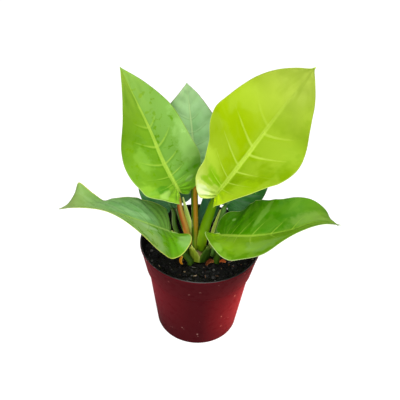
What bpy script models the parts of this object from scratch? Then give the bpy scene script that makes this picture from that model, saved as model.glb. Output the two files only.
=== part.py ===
"""Potted philodendron in its nursery pot.

A self-heading philodendron with nine stalked leaves on a short crown, in soil, in a 15 cm turned
plastic pot. Metres, +Z up. The origin is the centre of the pot's underside.
"""
import math
from dataclasses import dataclass, field

import bmesh
import bpy
import numpy as np
from mathutils import Vector

GAP = 0.0003

# Pot
POT_STEPS = 32
POT_HEIGHT = 0.1335
RIM_RADIUS = 0.075
COLLAR_RADIUS = 0.0677
SHOULDER_RADIUS = 0.0650
SHOULDER_HEIGHT = 0.0954
FOOT_RADIUS = 0.0535
WALL = 0.0018
FLOOR = 0.0020
CORNER = 0.0006
FOOT_CORNER = 0.0022
FLOOR_FILLET = 0.0014
SHOULDER_ROUND = 0.0010
LIP_WIDTH = 0.0022
LIP_DEPTH = 0.0030
LIP_ROUND = 0.0008
PAD_RADIUS = 0.016
DRAIN_RING_INNER = 0.019
DRAIN_RING_OUTER = 0.043
DRAIN_RING_RISE = 0.003
DRAIN_RING_SLOPE = 0.0035
DRAIN_HOLES = 8
DRAIN_HOLE_RADIUS = 0.004
DRAIN_CIRCLE = 0.031
DRAIN_SIDES = 12

# Soil and crown
SOIL_TOP = 0.118
SOIL_CLEARANCE = WALL + 0.0005
SOIL_EDGE_DROP = 0.0010
SOIL_LUMP = 0.0013
# Waves of the crumbled soil: radians a metre along X and Y, phase, share of the lump
SOIL_WAVES = (
    (310, 270, 1.7, 0.5), (310, -270, 0.9, 0.5), (520, -410, 2.1, 0.7), (190, 640, 4.0, 0.5),
)
SOIL_RINGS = (0.016, 0.032, 0.040, 0.048, 0.056, 0.064)
CALM_RADIUS = 0.034
LUMP_FADE = 0.010
CROWN_CENTRE = (-0.0003, -0.0125)
CROWN_RADIUS = 0.0100
CROWN_BOTTOM = 0.080
CROWN_TOP = 0.128
CROWN_TIP = 0.012
CROWN_TAPER = 0.7
CROWN_SIDES = 20
HOLE_SIDES = 12
HOLE_REACH = 0.02
FOOT_DEPTH = 0.014

# Blades
BLADE = 0.0009
KEEL = 0.0034
KEEL_HALF_WIDTH = 0.0026
KEEL_START = 0.02
COLUMNS = 18
ROWS = (0.0, 0.06, 0.30, 0.65, 1.0)
VEIN_SWEEP = 1.25
# Half outline of a blade: share of the length, share of the half width, where its side vein starts
OUTLINE = (
    (0.000, 0.00, 0.000), (-0.035, 0.10, 0.004), (-0.060, 0.25, 0.010), (-0.055, 0.45, 0.018),
    (-0.020, 0.65, 0.030), (0.050, 0.82, 0.055), (0.150, 0.95, 0.100), (0.280, 1.00, 0.170),
    (0.430, 0.95, 0.280), (0.580, 0.80, 0.420), (0.720, 0.59, 0.565), (0.840, 0.36, 0.715),
    (0.930, 0.16, 0.855), (0.975, 0.05, 0.945), (1.000, 0.00, 1.000),
)
LOBE_START = 0.14
LOBE_REACH = 0.20
FLARE_CENTRE = 0.30

# Stalks and bracts
STALK_POINTS = 10
STALK_RISE = 0.003
NECK = 0.006
BRACT = 0.0008
BRACT_COLUMNS = 7
BRACT_ROWS = 2
SPINE_POINTS = 41
BRACT_BASE = SOIL_TOP + GAP + 0.0002
BRACT_RING = CROWN_RADIUS + BRACT + GAP

LEAF_ROUGHNESS = 0.38
STALK_ROUGHNESS = 0.40
PLASTIC_ROUGHNESS = 0.42
DRY_ROUGHNESS = 0.6
SOIL_ROUGHNESS = 0.95
FRESH_GREEN = (0.30, 0.52, 0.03)


@dataclass
class Leaf:
    """One stalked leaf. Angles are in degrees, the rest in metres.

    midrib: five points from the stalk's end to the tip. twist: turn of the blade about the midrib
    at those points. rise_*: how far each half stands up from the midrib at its base, middle and
    tip. wave_*: lift of the margin at even places from base to tip. lobe: extra rise of the lobes.
    flare: how much each half widens towards the tip. seat: how far the stalk ends below and behind
    the blade's base.
    """

    name: str
    midrib: tuple
    half_width: tuple
    twist: tuple
    rise_left: tuple
    rise_right: tuple
    foot: tuple
    stalk: tuple
    radii: tuple
    wave_left: tuple = (0, 0, 0, 0, 0, 0, 0)
    wave_right: tuple = (0, 0, 0, 0, 0, 0, 0)
    lobe: tuple = (0, 0)
    flare: tuple = (0, 0)
    seat: tuple = (.0006, .0006)
    on_crown: bool = False
    colour: tuple = FRESH_GREEN
    stalk_colour: tuple = FRESH_GREEN
    light: tuple = field(default=(0.0, -0.6, 0.8))


LEAVES = (
    Leaf(
        "a",
        midrib=((-.029, .008, .200), (-.048, .019, .234), (-.064, .030, .269), (-.081, .035, .305),
                (-.096, .036, .341)),
        half_width=(.047, .044), twist=(-29, -2, 0, -18, -27), rise_left=(22, 19, 17), rise_right=(14, 28, 12),
        wave_left=(0, 0, 0, .001, .001, .001, 0), wave_right=(0, -.001, -.001, 0, .002, .003, 0),
        lobe=(22, -10),
        foot=(-.0054, -.0135), stalk=((-.010, -.0125, .143), (-.0185, -.008, .162), (-.0255, -.002, .180)),
        radii=(.0042, .0042, .0034, .0024), on_crown=True,
        colour=(0.28, 0.50, 0.04), stalk_colour=(0.45, 0.16, 0.04),
    ),
    Leaf(
        "b",
        midrib=((.014, -.006, .205), (.044, .022, .238), (.071, .040, .275), (.093, .039, .315),
                (.109, .019, .358)),
        half_width=(.071, .065), twist=(20, 9, 1, -2, -7), rise_left=(80, 44, 4), rise_right=(43, 12, -3),
        wave_left=(.007, -.015, .004, .002, -.003, .007, .004),
        wave_right=(-.001, 0, .003, -.003, .003, -.004, .002), lobe=(10, 10), flare=(.3, 0),
        foot=(.0042, -.0145), stalk=((.0042, -.0128, .146), (.0066, -.010, .164), (.0105, -.0065, .182)),
        radii=(.0048, .0048, .0044, .0030), seat=(.0001, .0003), on_crown=True,
        colour=(0.42, 0.60, 0.02), stalk_colour=(0.22, 0.42, 0.02),
    ),
    Leaf(
        "c",
        midrib=((-.0115, .047, .210), (-.0145, .056, .236), (-.018, .060, .264), (-.0215, .056, .294),
                (-.024, .043, .323)),
        half_width=(.043, .038), twist=(0, 4, 7, 9, 7), rise_left=(10, 9, 9), rise_right=(10, 13, 11),
        flare=(-.1, -.3),
        foot=(-.0015, -.0065), stalk=((-.0052, -.004, .146), (-.0082, .006, .166), (-.0100, .023, .187)),
        radii=(.0034, .0034, .0031, .0024), on_crown=True,
        colour=(0.13, 0.30, 0.12), stalk_colour=(0.40, 0.24, 0.03),
    ),
    Leaf(
        "d",
        midrib=((-.037, -.022, .163), (-.062, -.039, .188), (-.096, -.043, .204), (-.133, -.035, .204),
                (-.167, -.016, .184)),
        half_width=(.050, .043), twist=(-10, -31, -54, -55, -72), rise_left=(17, 19, 9), rise_right=(4, 5, 9),
        wave_left=(.003, -.005, .001, .002, 0, -.002, 0),
        wave_right=(-.002, -.006, -.010, -.007, -.006, -.002, 0, -.001, -.004, .006, .020, .006, 0),
        lobe=(56, 0), flare=(0, .15), foot=(-.0140, -.0235),
        stalk=((-.020, -.0245, .133), (-.0285, -.0262, .148)),
        radii=(.0040, .0038, .0030, .0021), seat=(.0012, .0013),
        colour=(0.16, 0.38, 0.08), stalk_colour=(0.06, 0.17, 0.03),
    ),
    Leaf(
        "e",
        midrib=((.023, -.031, .168), (.061, -.044, .181), (.098, -.040, .188), (.132, -.022, .188),
                (.167, -.003, .171)),
        half_width=(.0495, .0475), twist=(37, 26, 38, 21, -3), rise_left=(9, 17, 10),
        rise_right=(8, 25, 35, 39, 65), wave_left=(.001, -.006, -.002, 0, .007, .001, -.005),
        wave_right=(.004, -.006, .001, .002, .003, .005, 0), lobe=(5, 35), flare=(-.12, .1),
        foot=(.0208, -.0215), stalk=((.0222, -.024, .134), (.0215, -.030, .150)),
        radii=(.0040, .0036, .0030, .0025), seat=(-.0002, .0001),
        colour=(0.16, 0.42, 0.03), stalk_colour=(0.07, 0.19, 0.03),
    ),
    Leaf(
        "f",
        midrib=((-.038, .015, .171), (-.050, .033, .180), (-.062, .052, .188), (-.074, .069, .197),
                (-.084, .082, .205)),
        half_width=(.027, .026), twist=(0, 0, 0, 0, 0), rise_left=(16, 12, 10), rise_right=(34, 20, 12),
        foot=(-.0146, -.0083), stalk=((-.0235, -.004, .134), (-.0325, .003, .151)),
        radii=(.0034, .0032, .0027, .0022),
        colour=(0.04, 0.14, 0.08), stalk_colour=(0.05, 0.12, 0.04), light=(-0.3, -0.45, 0.8),
    ),
    Leaf(
        "g",
        midrib=((.030, .018, .177), (.044, .036, .187), (.059, .053, .199), (.074, .068, .211),
                (.088, .080, .222)),
        half_width=(.029, .031), twist=(0, 0, 0, 0, 0), rise_left=(20, 14, 10), rise_right=(14, 12, 10),
        foot=(.0150, -.0070), stalk=((.0185, -.002, .140), (.0235, .006, .158)),
        radii=(.0044, .0042, .0036, .0026),
        colour=(0.04, 0.14, 0.08), stalk_colour=(0.05, 0.15, 0.03), light=(0.2, -0.5, 0.8),
    ),
    Leaf(
        "h",
        midrib=((.001, .013, .146), (.007, .026, .158), (.013, .042, .172), (.023, .060, .186),
                (.034, .078, .197)),
        half_width=(.012, .017), twist=(0, 0, 0, 0, 0), rise_left=(34, 30, 18), rise_right=(38, 32, 18),
        foot=(.0032, .0020), stalk=((.0015, .005, .130),),
        radii=(.0030, .0026, .0020),
        colour=(0.04, 0.13, 0.09), stalk_colour=(0.05, 0.14, 0.05), light=(0, -0.3, 0.95),
    ),
    Leaf(
        "i",
        midrib=((-.033, .030, .171), (-.036, .056, .174), (-.037, .084, .171), (-.037, .110, .161),
                (-.037, .132, .146)),
        half_width=(.026, .026), twist=(0, 0, 0, 0, 0), rise_left=(-12, -10, -6), rise_right=(10, 10, 8),
        foot=(-.0080, .0015), stalk=((-.018, .006, .138), (-.0265, .014, .157)),
        radii=(.0032, .0030, .0026, .0022),
        colour=(0.06, 0.18, 0.08), stalk_colour=(0.05, 0.15, 0.03), light=(0, 0, 1),
    ),
)


def spline(values, at):
    """Catmull-Rom curve through evenly spaced values, read at shares 0 to 1 of its length."""
    values = np.asarray(values, float)
    flat = values.ndim == 1
    points = values[:, None] if flat else values
    last = len(points) - 1
    place = np.clip(np.asarray(at, float), 0.0, 1.0) * last
    low = np.minimum(place.astype(int), last - 1)
    t = (place - low)[:, None]
    p1, p2 = points[low], points[low + 1]
    p0 = np.where((low > 0)[:, None], points[np.maximum(low - 1, 0)], 2 * p1 - p2)
    p3 = np.where((low < last - 1)[:, None], points[np.minimum(low + 2, last)], 2 * p2 - p1)
    curve = 0.5 * (2 * p1 + (p2 - p0) * t + (2 * p0 - 5 * p1 + 4 * p2 - p3) * t**2
                   + (3 * p1 - p0 - 3 * p2 + p3) * t**3)
    return curve[:, 0] if flat else curve


def unit(vectors):
    """Vectors scaled to length 1."""
    return vectors / np.linalg.norm(vectors, axis=-1, keepdims=True)


class Midrib:
    """A leaf's midrib, read by share of its length."""

    def __init__(self, leaf):
        self.curve = spline(leaf.midrib, np.linspace(0, 1, 81))
        steps = np.linalg.norm(np.diff(self.curve, axis=0), axis=1)
        run = np.concatenate(([0.0], np.cumsum(steps)))
        self.length = run[-1]
        self.share = run / run[-1]
        self.along = unit(np.gradient(self.curve, self.share, axis=0))
        self.light = unit(np.array(leaf.light, float))

    def read(self, share):
        """Point, direction, sideways and upper-face directions at a share of the length."""
        inside = np.clip(share, 0.0, 1.0)
        point = np.stack([np.interp(inside, self.share, self.curve[:, k]) for k in range(3)], 1)
        along = unit(np.stack([np.interp(inside, self.share, self.along[:, k]) for k in range(3)], 1))
        face = unit(self.light - (along @ self.light)[:, None] * along)
        return point + np.minimum(share, 0.0)[:, None] * self.length * along, along, np.cross(along, face), face


def blade_points(leaf, midrib, share, across, edge, right):
    """Points of one half blade. across: metres from the midrib. edge: 0 at the midrib, 1 at the margin."""
    point, along, side, face = midrib.read(share)
    turn = np.radians(spline(leaf.twist, share))[:, None]
    side, face = side * np.cos(turn) + face * np.sin(turn), face * np.cos(turn) - side * np.sin(turn)
    lobe = leaf.lobe[right] * np.clip((LOBE_START - share) / LOBE_REACH, 0, 1) ** 2
    rise = np.radians(spline(leaf.rise_right if right else leaf.rise_left, share) + lobe)
    wave = spline(leaf.wave_right if right else leaf.wave_left, share) * edge**2
    out = (across * np.cos(rise))[:, None] * side * (1 if right else -1)
    return point + out + (across * np.sin(rise) + wave)[:, None] * face


def keel_depth(share, across):
    """Thickness of the blade: thin, with a keel under the midrib that fades to the tip."""
    ridge = (KEEL - BLADE) * (1 - np.clip(share, 0, 1)) ** 1.5 * np.clip(share / KEEL_START, 0, 1)
    width = KEEL_HALF_WIDTH * (1 - 0.6 * np.clip(share, 0, 1))
    return BLADE + ridge * np.clip(1 - across / width, 0, 1)


def add_material(obj, colour, roughness):
    """Give an object a Principled material of its own."""
    material = bpy.data.materials.new(obj.name + "_finish")
    material.use_nodes = True
    shader = material.node_tree.nodes["Principled BSDF"]
    shader.inputs["Base Color"].default_value = (*colour, 1.0)
    shader.inputs["Roughness"].default_value = roughness
    obj.data.materials.append(material)


def object_from_bmesh(bm, name, collection, smooth=True):
    """Make an object of a bmesh."""
    mesh = bpy.data.meshes.new(name)
    bm.to_mesh(mesh)
    bm.free()
    if smooth:
        mesh.shade_smooth()
    obj = bpy.data.objects.new(name, mesh)
    collection.objects.link(obj)
    return obj


def sheet(name, columns, rows, place, depth, collection):
    """Bend a grid into a sheet and give it its thickness below the upper face.

    place takes arrays of column share and signed row number and returns points; depth the thickness.
    """
    bm = bmesh.new()
    bmesh.ops.create_grid(bm, x_segments=columns, y_segments=2 * rows, size=0.5)
    bm.verts.ensure_lookup_table()
    flat = np.array([vert.co for vert in bm.verts])
    column = flat[:, 0] + 0.5
    row = np.rint(flat[:, 1] * 2 * rows).astype(int)
    points = place(column, row)
    thickness = depth(column, row)
    deepest = thickness.max()
    layer = bm.verts.layers.deform.new()
    for vert, point, thick in zip(bm.verts, points, thickness):
        vert.co = Vector(point)
        vert[layer][0] = thick / deepest
    bmesh.ops.remove_doubles(bm, verts=bm.verts, dist=1e-5)
    bmesh.ops.triangulate(bm, faces=bm.faces)
    obj = object_from_bmesh(bm, name, collection)
    obj.vertex_groups.new(name="thickness")
    solid = obj.modifiers.new("Thickness", "SOLIDIFY")
    solid.thickness = deepest
    solid.offset = -1.0
    solid.vertex_group = "thickness"
    return obj


def build_blade(leaf, collection):
    """One blade with its lobes, waved margin and keel."""
    midrib = Midrib(leaf)

    def shares(column, row):
        outline = spline(OUTLINE, column)
        edge = np.array(ROWS)[np.abs(row)]
        share = outline[:, 2] + (outline[:, 0] - outline[:, 2]) * edge**VEIN_SWEEP
        left, right = (outline[:, 1] * edge * half * (1 + flare * (outline[:, 0] - FLARE_CENTRE))
                       for half, flare in zip(leaf.half_width, leaf.flare))
        return share, left, right, edge

    def place(column, row):
        share, left, right, edge = shares(column, row)
        left = blade_points(leaf, midrib, share, left, edge, 0)
        right = blade_points(leaf, midrib, share, right, edge, 1)
        return np.where((row > 0)[:, None], left, right)

    def depth(column, row):
        share, left, right, _ = shares(column, row)
        return keel_depth(share, np.maximum(left, right))

    obj = sheet("leaf_" + leaf.name, COLUMNS, len(ROWS) - 1, place, depth, collection)
    add_material(obj, leaf.colour, LEAF_ROUGHNESS)


def tube(name, points, radii, collection):
    """A round stem along points, tapering by radii."""
    curve = bpy.data.curves.new(name, "CURVE")
    curve.dimensions = "3D"
    curve.bevel_depth = max(radii)
    curve.bevel_resolution = 2
    curve.use_fill_caps = True
    line = curve.splines.new("POLY")
    line.points.add(len(points) - 1)
    for knot, point, radius in zip(line.points, points, radii):
        knot.co = (*point, 1.0)
        knot.radius = radius / max(radii)
    obj = bpy.data.objects.new(name, curve)
    collection.objects.link(obj)
    return obj


def build_stalk(leaf, collection):
    """The stalk from its foot in the soil, or on the crown, to just behind the blade's base."""
    midrib = Midrib(leaf)
    point, along, side, face = (part[0] for part in midrib.read(np.zeros(1)))
    turn = math.radians(leaf.twist[0])
    under = math.sin(turn) * side - math.cos(turn) * face
    end = point + under * (leaf.radii[-1] + BLADE + leaf.seat[0]) - along * leaf.seat[1]
    approach = unit(along + unit(end - np.array(leaf.stalk[-1])))
    neck = end - approach * NECK
    start = CROWN_TOP + GAP if leaf.on_crown else SOIL_TOP - FOOT_DEPTH
    bend = max(start, SOIL_TOP) + STALK_RISE
    path = [(*leaf.foot, bend), *leaf.stalk, tuple(neck), tuple(end)]
    share = np.linspace(0, 1, STALK_POINTS)
    points = [(*leaf.foot, start)] + [tuple(p) for p in spline(path, share)]
    radii = [leaf.radii[0]] + list(spline(leaf.radii, share))
    obj = tube("stalk_" + leaf.name, points, radii, collection)
    add_material(obj, leaf.stalk_colour, STALK_ROUGHNESS)


def build_pot(collection, cutters):
    """Turned pot: padded floor with a raised drain ring, tapered wall, collar and rolled lip."""
    rise = DRAIN_RING_RISE
    inner_foot = FOOT_RADIUS - WALL
    inner_collar = COLLAR_RADIUS - WALL
    ring_foot = DRAIN_RING_OUTER + DRAIN_RING_SLOPE
    profile = (
        (0, FLOOR), (PAD_RADIUS - CORNER, FLOOR), (DRAIN_RING_INNER, rise + FLOOR),
        (DRAIN_RING_OUTER, rise + FLOOR), (ring_foot, FLOOR), (inner_foot - FLOOR_FILLET, FLOOR),
        (inner_foot, FLOOR + FLOOR_FILLET), (SHOULDER_RADIUS - WALL, SHOULDER_HEIGHT - SHOULDER_ROUND),
        (inner_collar, SHOULDER_HEIGHT + SHOULDER_ROUND + CORNER),
        (RIM_RADIUS - LIP_WIDTH, POT_HEIGHT - 2 * LIP_ROUND), (RIM_RADIUS - LIP_WIDTH, POT_HEIGHT - CORNER),
        (RIM_RADIUS - LIP_WIDTH + CORNER, POT_HEIGHT), (RIM_RADIUS - CORNER, POT_HEIGHT),
        (RIM_RADIUS, POT_HEIGHT - LIP_ROUND), (RIM_RADIUS, POT_HEIGHT - LIP_DEPTH),
        (RIM_RADIUS - LIP_ROUND, POT_HEIGHT - LIP_DEPTH - LIP_ROUND),
        (COLLAR_RADIUS, SHOULDER_HEIGHT + SHOULDER_ROUND), (COLLAR_RADIUS - CORNER, SHOULDER_HEIGHT),
        (SHOULDER_RADIUS, SHOULDER_HEIGHT - SHOULDER_ROUND), (FOOT_RADIUS, FOOT_CORNER),
        (FOOT_RADIUS - CORNER, CORNER), (FOOT_RADIUS - FOOT_CORNER, 0), (ring_foot, 0),
        (DRAIN_RING_OUTER, rise), (DRAIN_RING_INNER, rise), (PAD_RADIUS, 0), (0, 0),
    )
    pot = turned("pot", profile, collection)
    for k in range(DRAIN_HOLES):
        angle = 2 * math.pi * (k + 0.5) / DRAIN_HOLES
        centre = (DRAIN_CIRCLE * math.cos(angle), DRAIN_CIRCLE * math.sin(angle))
        cutter = cylinder(f"drain_cutter_{k + 1}", centre, DRAIN_HOLE_RADIUS,
                          FLOOR / 2, 2 * (FLOOR + rise) - FLOOR / 2, DRAIN_SIDES, cutters)
        cut(pot, cutter)
    add_material(pot, (0.30, 0.02, 0.03), PLASTIC_ROUGHNESS)


def turned(name, profile, collection):
    """A solid of revolution from (radius, height) points that run down the outer side."""
    mesh = bpy.data.meshes.new(name + "_profile")
    points = [(radius, 0.0, height) for radius, height in profile]
    mesh.from_pydata(points, [(k, k + 1) for k in range(len(points) - 1)], [])
    obj = bpy.data.objects.new(name, mesh)
    collection.objects.link(obj)
    screw = obj.modifiers.new("Turn", "SCREW")
    screw.steps = POT_STEPS
    screw.render_steps = POT_STEPS
    screw.use_merge_vertices = True
    screw.merge_threshold = 0.00005
    return obj


def cylinder(name, centre, radius, bottom, top, sides, collection):
    """An upright cylinder between two heights."""
    bm = bmesh.new()
    bmesh.ops.create_cone(bm, cap_ends=True, segments=sides, radius1=radius, radius2=radius, depth=top - bottom)
    bmesh.ops.translate(bm, verts=bm.verts, vec=(*centre, (top + bottom) / 2))
    return object_from_bmesh(bm, name, collection, smooth=False)


def cut(obj, cutter):
    """Cut an object by a hidden cutter."""
    cutter.hide_render = True
    cutter.display_type = "WIRE"
    boolean = obj.modifiers.new("Cut " + cutter.name, "BOOLEAN")
    boolean.operation = "DIFFERENCE"
    boolean.solver = "EXACT"
    boolean.object = cutter


def lump(x, y):
    """Height of the crumbled soil above its level, calm round the stems."""
    waves = sum(share * math.sin(kx * x + ky * y + phase) for kx, ky, phase, share in SOIL_WAVES)
    far = math.hypot(x - CROWN_CENTRE[0], y - CROWN_CENTRE[1]) - CALM_RADIUS
    return SOIL_LUMP * waves * min(1.0, max(0.0, far / LUMP_FADE))


def build_soil(collection, cutters):
    """Soil that fills the pot, with a crumbled top and plain holes for the crown and the outer stalks."""
    floor = FLOOR + DRAIN_RING_RISE + GAP
    foot = FOOT_RADIUS - SOIL_CLEARANCE + floor * (SHOULDER_RADIUS - FOOT_RADIUS) / SHOULDER_HEIGHT
    slope = (RIM_RADIUS - CORNER - COLLAR_RADIUS) / (POT_HEIGHT - SHOULDER_HEIGHT)
    edge = COLLAR_RADIUS + slope * (SOIL_TOP - SHOULDER_HEIGHT) - SOIL_CLEARANCE
    profile = (
        (0, SOIL_TOP), *((ring, SOIL_TOP) for ring in SOIL_RINGS), (edge, SOIL_TOP - SOIL_EDGE_DROP),
        (COLLAR_RADIUS - SOIL_CLEARANCE, SHOULDER_HEIGHT + 2 * SHOULDER_ROUND),
        (SHOULDER_RADIUS - SOIL_CLEARANCE, SHOULDER_HEIGHT - SHOULDER_ROUND), (foot, floor), (0, floor),
    )
    turned_soil = turned("soil_turned", profile, collection)
    bpy.context.view_layer.update()
    ready = turned_soil.evaluated_get(bpy.context.evaluated_depsgraph_get())
    mesh = bpy.data.meshes.new_from_object(ready)
    bpy.data.objects.remove(turned_soil)
    for vert in mesh.vertices:
        if vert.co.z > SOIL_TOP - SOIL_EDGE_DROP / 2:
            vert.co.z += lump(vert.co.x, vert.co.y)
    mesh.name = "soil"
    soil = bpy.data.objects.new("soil", mesh)
    collection.objects.link(soil)
    cut(soil, cylinder("crown_hole", CROWN_CENTRE, CROWN_RADIUS + GAP, CROWN_BOTTOM - GAP,
                       SOIL_TOP + HOLE_REACH, CROWN_SIDES, cutters))
    for leaf in LEAVES:
        if not leaf.on_crown:
            cut(soil, cylinder("hole_" + leaf.name, leaf.foot, leaf.radii[0] + 2 * GAP,
                               SOIL_TOP - FOOT_DEPTH - GAP, SOIL_TOP + HOLE_REACH, HOLE_SIDES, cutters))
    add_material(soil, (0.014, 0.012, 0.011), SOIL_ROUGHNESS)


def build_crown(collection):
    """The short stem stock: a rooted cylinder with a blunt foot and a flat top for the young stalks."""
    bm = bmesh.new()
    bmesh.ops.create_cone(bm, cap_ends=True, segments=CROWN_SIDES, radius1=CROWN_RADIUS * CROWN_TAPER,
                          radius2=CROWN_RADIUS, depth=CROWN_TIP)
    bmesh.ops.translate(bm, verts=bm.verts, vec=(*CROWN_CENTRE, CROWN_BOTTOM + CROWN_TIP / 2))
    top = [face for face in bm.faces if face.normal.z > 0.9]
    grown = bmesh.ops.extrude_face_region(bm, geom=top)
    bmesh.ops.delete(bm, geom=top, context="FACES")
    risen = [item for item in grown["geom"] if isinstance(item, bmesh.types.BMVert)]
    bmesh.ops.translate(bm, verts=risen, vec=(0, 0, CROWN_TOP - CROWN_BOTTOM - CROWN_TIP))
    crown = object_from_bmesh(bm, "crown", collection)
    add_material(crown, (0.20, 0.26, 0.05), DRY_ROUGHNESS)


def round_crown(degrees, height, out=0.0):
    """A point round the crown, out from the bracts' ring."""
    angle = math.radians(degrees)
    reach = BRACT_RING + out
    return (CROWN_CENTRE[0] + reach * math.cos(angle), CROWN_CENTRE[1] + reach * math.sin(angle),
            BRACT_BASE + height)


@dataclass
class Bract:
    """A pointed bract or a dried scrap: a strip along a spine that wraps round what it clasps.

    widths: full width at even places. wrap: radius of the strip's cross curve. outward: the way its
    back faces.
    """

    name: str
    spine: tuple
    widths: tuple
    wrap: float
    outward: tuple
    colour: tuple


BRACTS = (
    Bract("sheath_front",
          (round_crown(-131, 0), round_crown(-131, .007), round_crown(-128, .014, .0006),
           round_crown(-122, .020, .0004)),
          (.0170, .0170, .0125, .0008), BRACT_RING, (-.656, -.755, .05), (0.20, 0.27, 0.06)),
    Bract("sheath_right",
          (round_crown(-44, 0), round_crown(-44, .009), round_crown(-43, .018, .0006),
           round_crown(-38, .026, .0004)),
          (.0140, .0140, .0105, .0008), BRACT_RING, (.719, -.695, .05), (0.06, 0.15, 0.04)),
    Bract("sheath_pale_left",
          ((-.0136, -.0138, .1189), (-.0146, -.0112, .132), (-.0168, -.0048, .148), (-.0190, .0025, .168),
           (-.0238, .0085, .192)),
          (.0034, .0050, .0075, .0060, .0006), .006, (-.3, -.8, .2), (0.42, 0.48, 0.16)),
    Bract("sheath_pale_right",
          ((.0133, -.0136, .1189), (.0133, -.0075, .143), (.0168, -.003, .162), (.0222, .003, .180)),
          (.0036, .0060, .0048, .0006), .006, (.4, -.8, .2), (0.40, 0.46, 0.16)),
    Bract("scrap_yellow",
          ((-.0200, -.0290, .1193), (-.0230, -.0310, .1230), (-.0255, -.0325, .1275)),
          (.0040, .0045, .0010), .004, (-.3, -.8, .5), (0.50, 0.30, 0.04)),
    Bract("scrap_brown",
          ((.0085, -.0295, .1197), (.0125, -.0275, .1213), (.0165, -.0290, .1197)),
          (.0030, .0050, .0012), .004, (0, -.3, .95), (0.16, 0.05, 0.03)),
    Bract("scrap_orange",
          ((.0270, -.0262, .1197), (.0305, -.0255, .1211), (.0345, -.0262, .1197)),
          (.0030, .0042, .0012), .004, (0, -.3, .95), (0.60, 0.18, 0.05)),
)


def build_bract(bract, collection):
    """Bend a grid into a bract."""
    back = unit(np.array(bract.outward, float))
    ends = np.linspace(0, 1, SPINE_POINTS)
    ahead = unit(np.gradient(spline(bract.spine, ends), axis=0))

    def place(column, row):
        centre = spline(bract.spine, column)
        along = ahead[np.rint(column * (SPINE_POINTS - 1)).astype(int)]
        face = unit(back - (along @ back)[:, None] * along)
        side = np.cross(along, face)
        angle = spline(bract.widths, column) / (2 * bract.wrap) * row / BRACT_ROWS
        sunk = bract.wrap * (1 - np.cos(angle))
        return centre - bract.wrap * np.sin(angle)[:, None] * side - sunk[:, None] * face

    def depth(column, row):
        return np.full(len(column), BRACT)

    obj = sheet(bract.name, BRACT_COLUMNS, BRACT_ROWS, place, depth, collection)
    add_material(obj, bract.colour, DRY_ROUGHNESS)


def main():
    """Clear the scene and build the plant in its pot."""
    for obj in list(bpy.data.objects):
        bpy.data.objects.remove(obj)
    collection = bpy.data.collections.new("potted_philodendron")
    cutters = bpy.data.collections.new("cutters")
    for made in (collection, cutters):
        bpy.context.scene.collection.children.link(made)
    build_pot(collection, cutters)
    build_soil(collection, cutters)
    build_crown(collection)
    for leaf in LEAVES:
        build_blade(leaf, collection)
        build_stalk(leaf, collection)
    for bract in BRACTS:
        build_bract(bract, collection)


main()
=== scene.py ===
"""Potted philodendron: the visible blades, stalks, bracts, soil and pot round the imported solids.

Everything is in metres, +Z up, with the origin at the centre of the pot's underside.
"""

import logging
import math
from collections.abc import Sequence
from dataclasses import dataclass, replace
from enum import Enum
from functools import cache

import bpy
import numpy as np
from bpy.types import Material, NodeSocket, NodeTree, Object
from mathutils import Matrix, Vector, noise


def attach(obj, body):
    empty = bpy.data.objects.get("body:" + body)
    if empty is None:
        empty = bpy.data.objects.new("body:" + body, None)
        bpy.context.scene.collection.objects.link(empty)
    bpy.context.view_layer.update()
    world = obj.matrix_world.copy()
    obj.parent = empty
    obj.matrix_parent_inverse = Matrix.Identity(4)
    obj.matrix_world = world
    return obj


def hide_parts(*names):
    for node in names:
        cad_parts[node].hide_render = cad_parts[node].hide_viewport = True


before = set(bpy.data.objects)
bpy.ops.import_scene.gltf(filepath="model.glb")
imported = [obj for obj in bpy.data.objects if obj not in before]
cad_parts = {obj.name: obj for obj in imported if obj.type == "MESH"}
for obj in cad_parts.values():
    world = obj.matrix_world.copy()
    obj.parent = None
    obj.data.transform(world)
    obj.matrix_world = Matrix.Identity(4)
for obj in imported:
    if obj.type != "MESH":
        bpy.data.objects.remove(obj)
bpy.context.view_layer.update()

LOG = logging.getLogger("philodendron")
BODY = "root"

Pair = tuple[float, float]
Triple = tuple[float, float, float]
Numbers = Sequence[float]
Points = Sequence[Sequence[float]]
Lump = tuple[np.ndarray, list[tuple[int, ...]]]
# A display colour such as #95B100
Colour = str

# Pot and soil, as in the solids
POT_HEIGHT = 0.1335
RIM_RADIUS = 0.075
COLLAR_RADIUS = 0.0677
SHOULDER_RADIUS = 0.0650
SHOULDER_HEIGHT = 0.0954
FOOT_RADIUS = 0.0535
WALL = 0.0018
PAD_RADIUS = 0.016
DRAIN_RING_INNER = 0.019
DRAIN_RING_OUTER = 0.043
DRAIN_RING_RISE = 0.003
DRAIN_HOLES = 8
DRAIN_HOLE_RADIUS = 0.004
DRAIN_CIRCLE = 0.031
SOIL_TOP = 0.118
CROWN_CENTRE = (-0.0003, -0.0125)
CROWN_RADIUS = 0.0100
CROWN_TOP = 0.128
FOOT_DEPTH = 0.014
GAP = 0.0003
# Where the bracts stand: height of the soil, and the ring that they clasp
BRACT_FOOT = SOIL_TOP + GAP - 0.0006
BRACT_RING = CROWN_RADIUS + 0.0008 + GAP

# Half outline of a blade: share of the length, share of the half width, where its side vein starts
OUTLINE = (
    (0.000, 0.00, 0.000), (-0.035, 0.10, 0.004), (-0.060, 0.25, 0.010), (-0.055, 0.45, 0.018),
    (-0.020, 0.65, 0.030), (0.050, 0.82, 0.055), (0.150, 0.95, 0.100), (0.280, 1.00, 0.170),
    (0.430, 0.95, 0.280), (0.580, 0.80, 0.420), (0.720, 0.59, 0.565), (0.840, 0.36, 0.715),
    (0.930, 0.16, 0.855), (0.975, 0.05, 0.945), (1.000, 0.00, 1.000),
)
VEIN_SWEEP = 1.25
LOBE_START = 0.14
LOBE_REACH = 0.20
FLARE_CENTRE = 0.30
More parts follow.
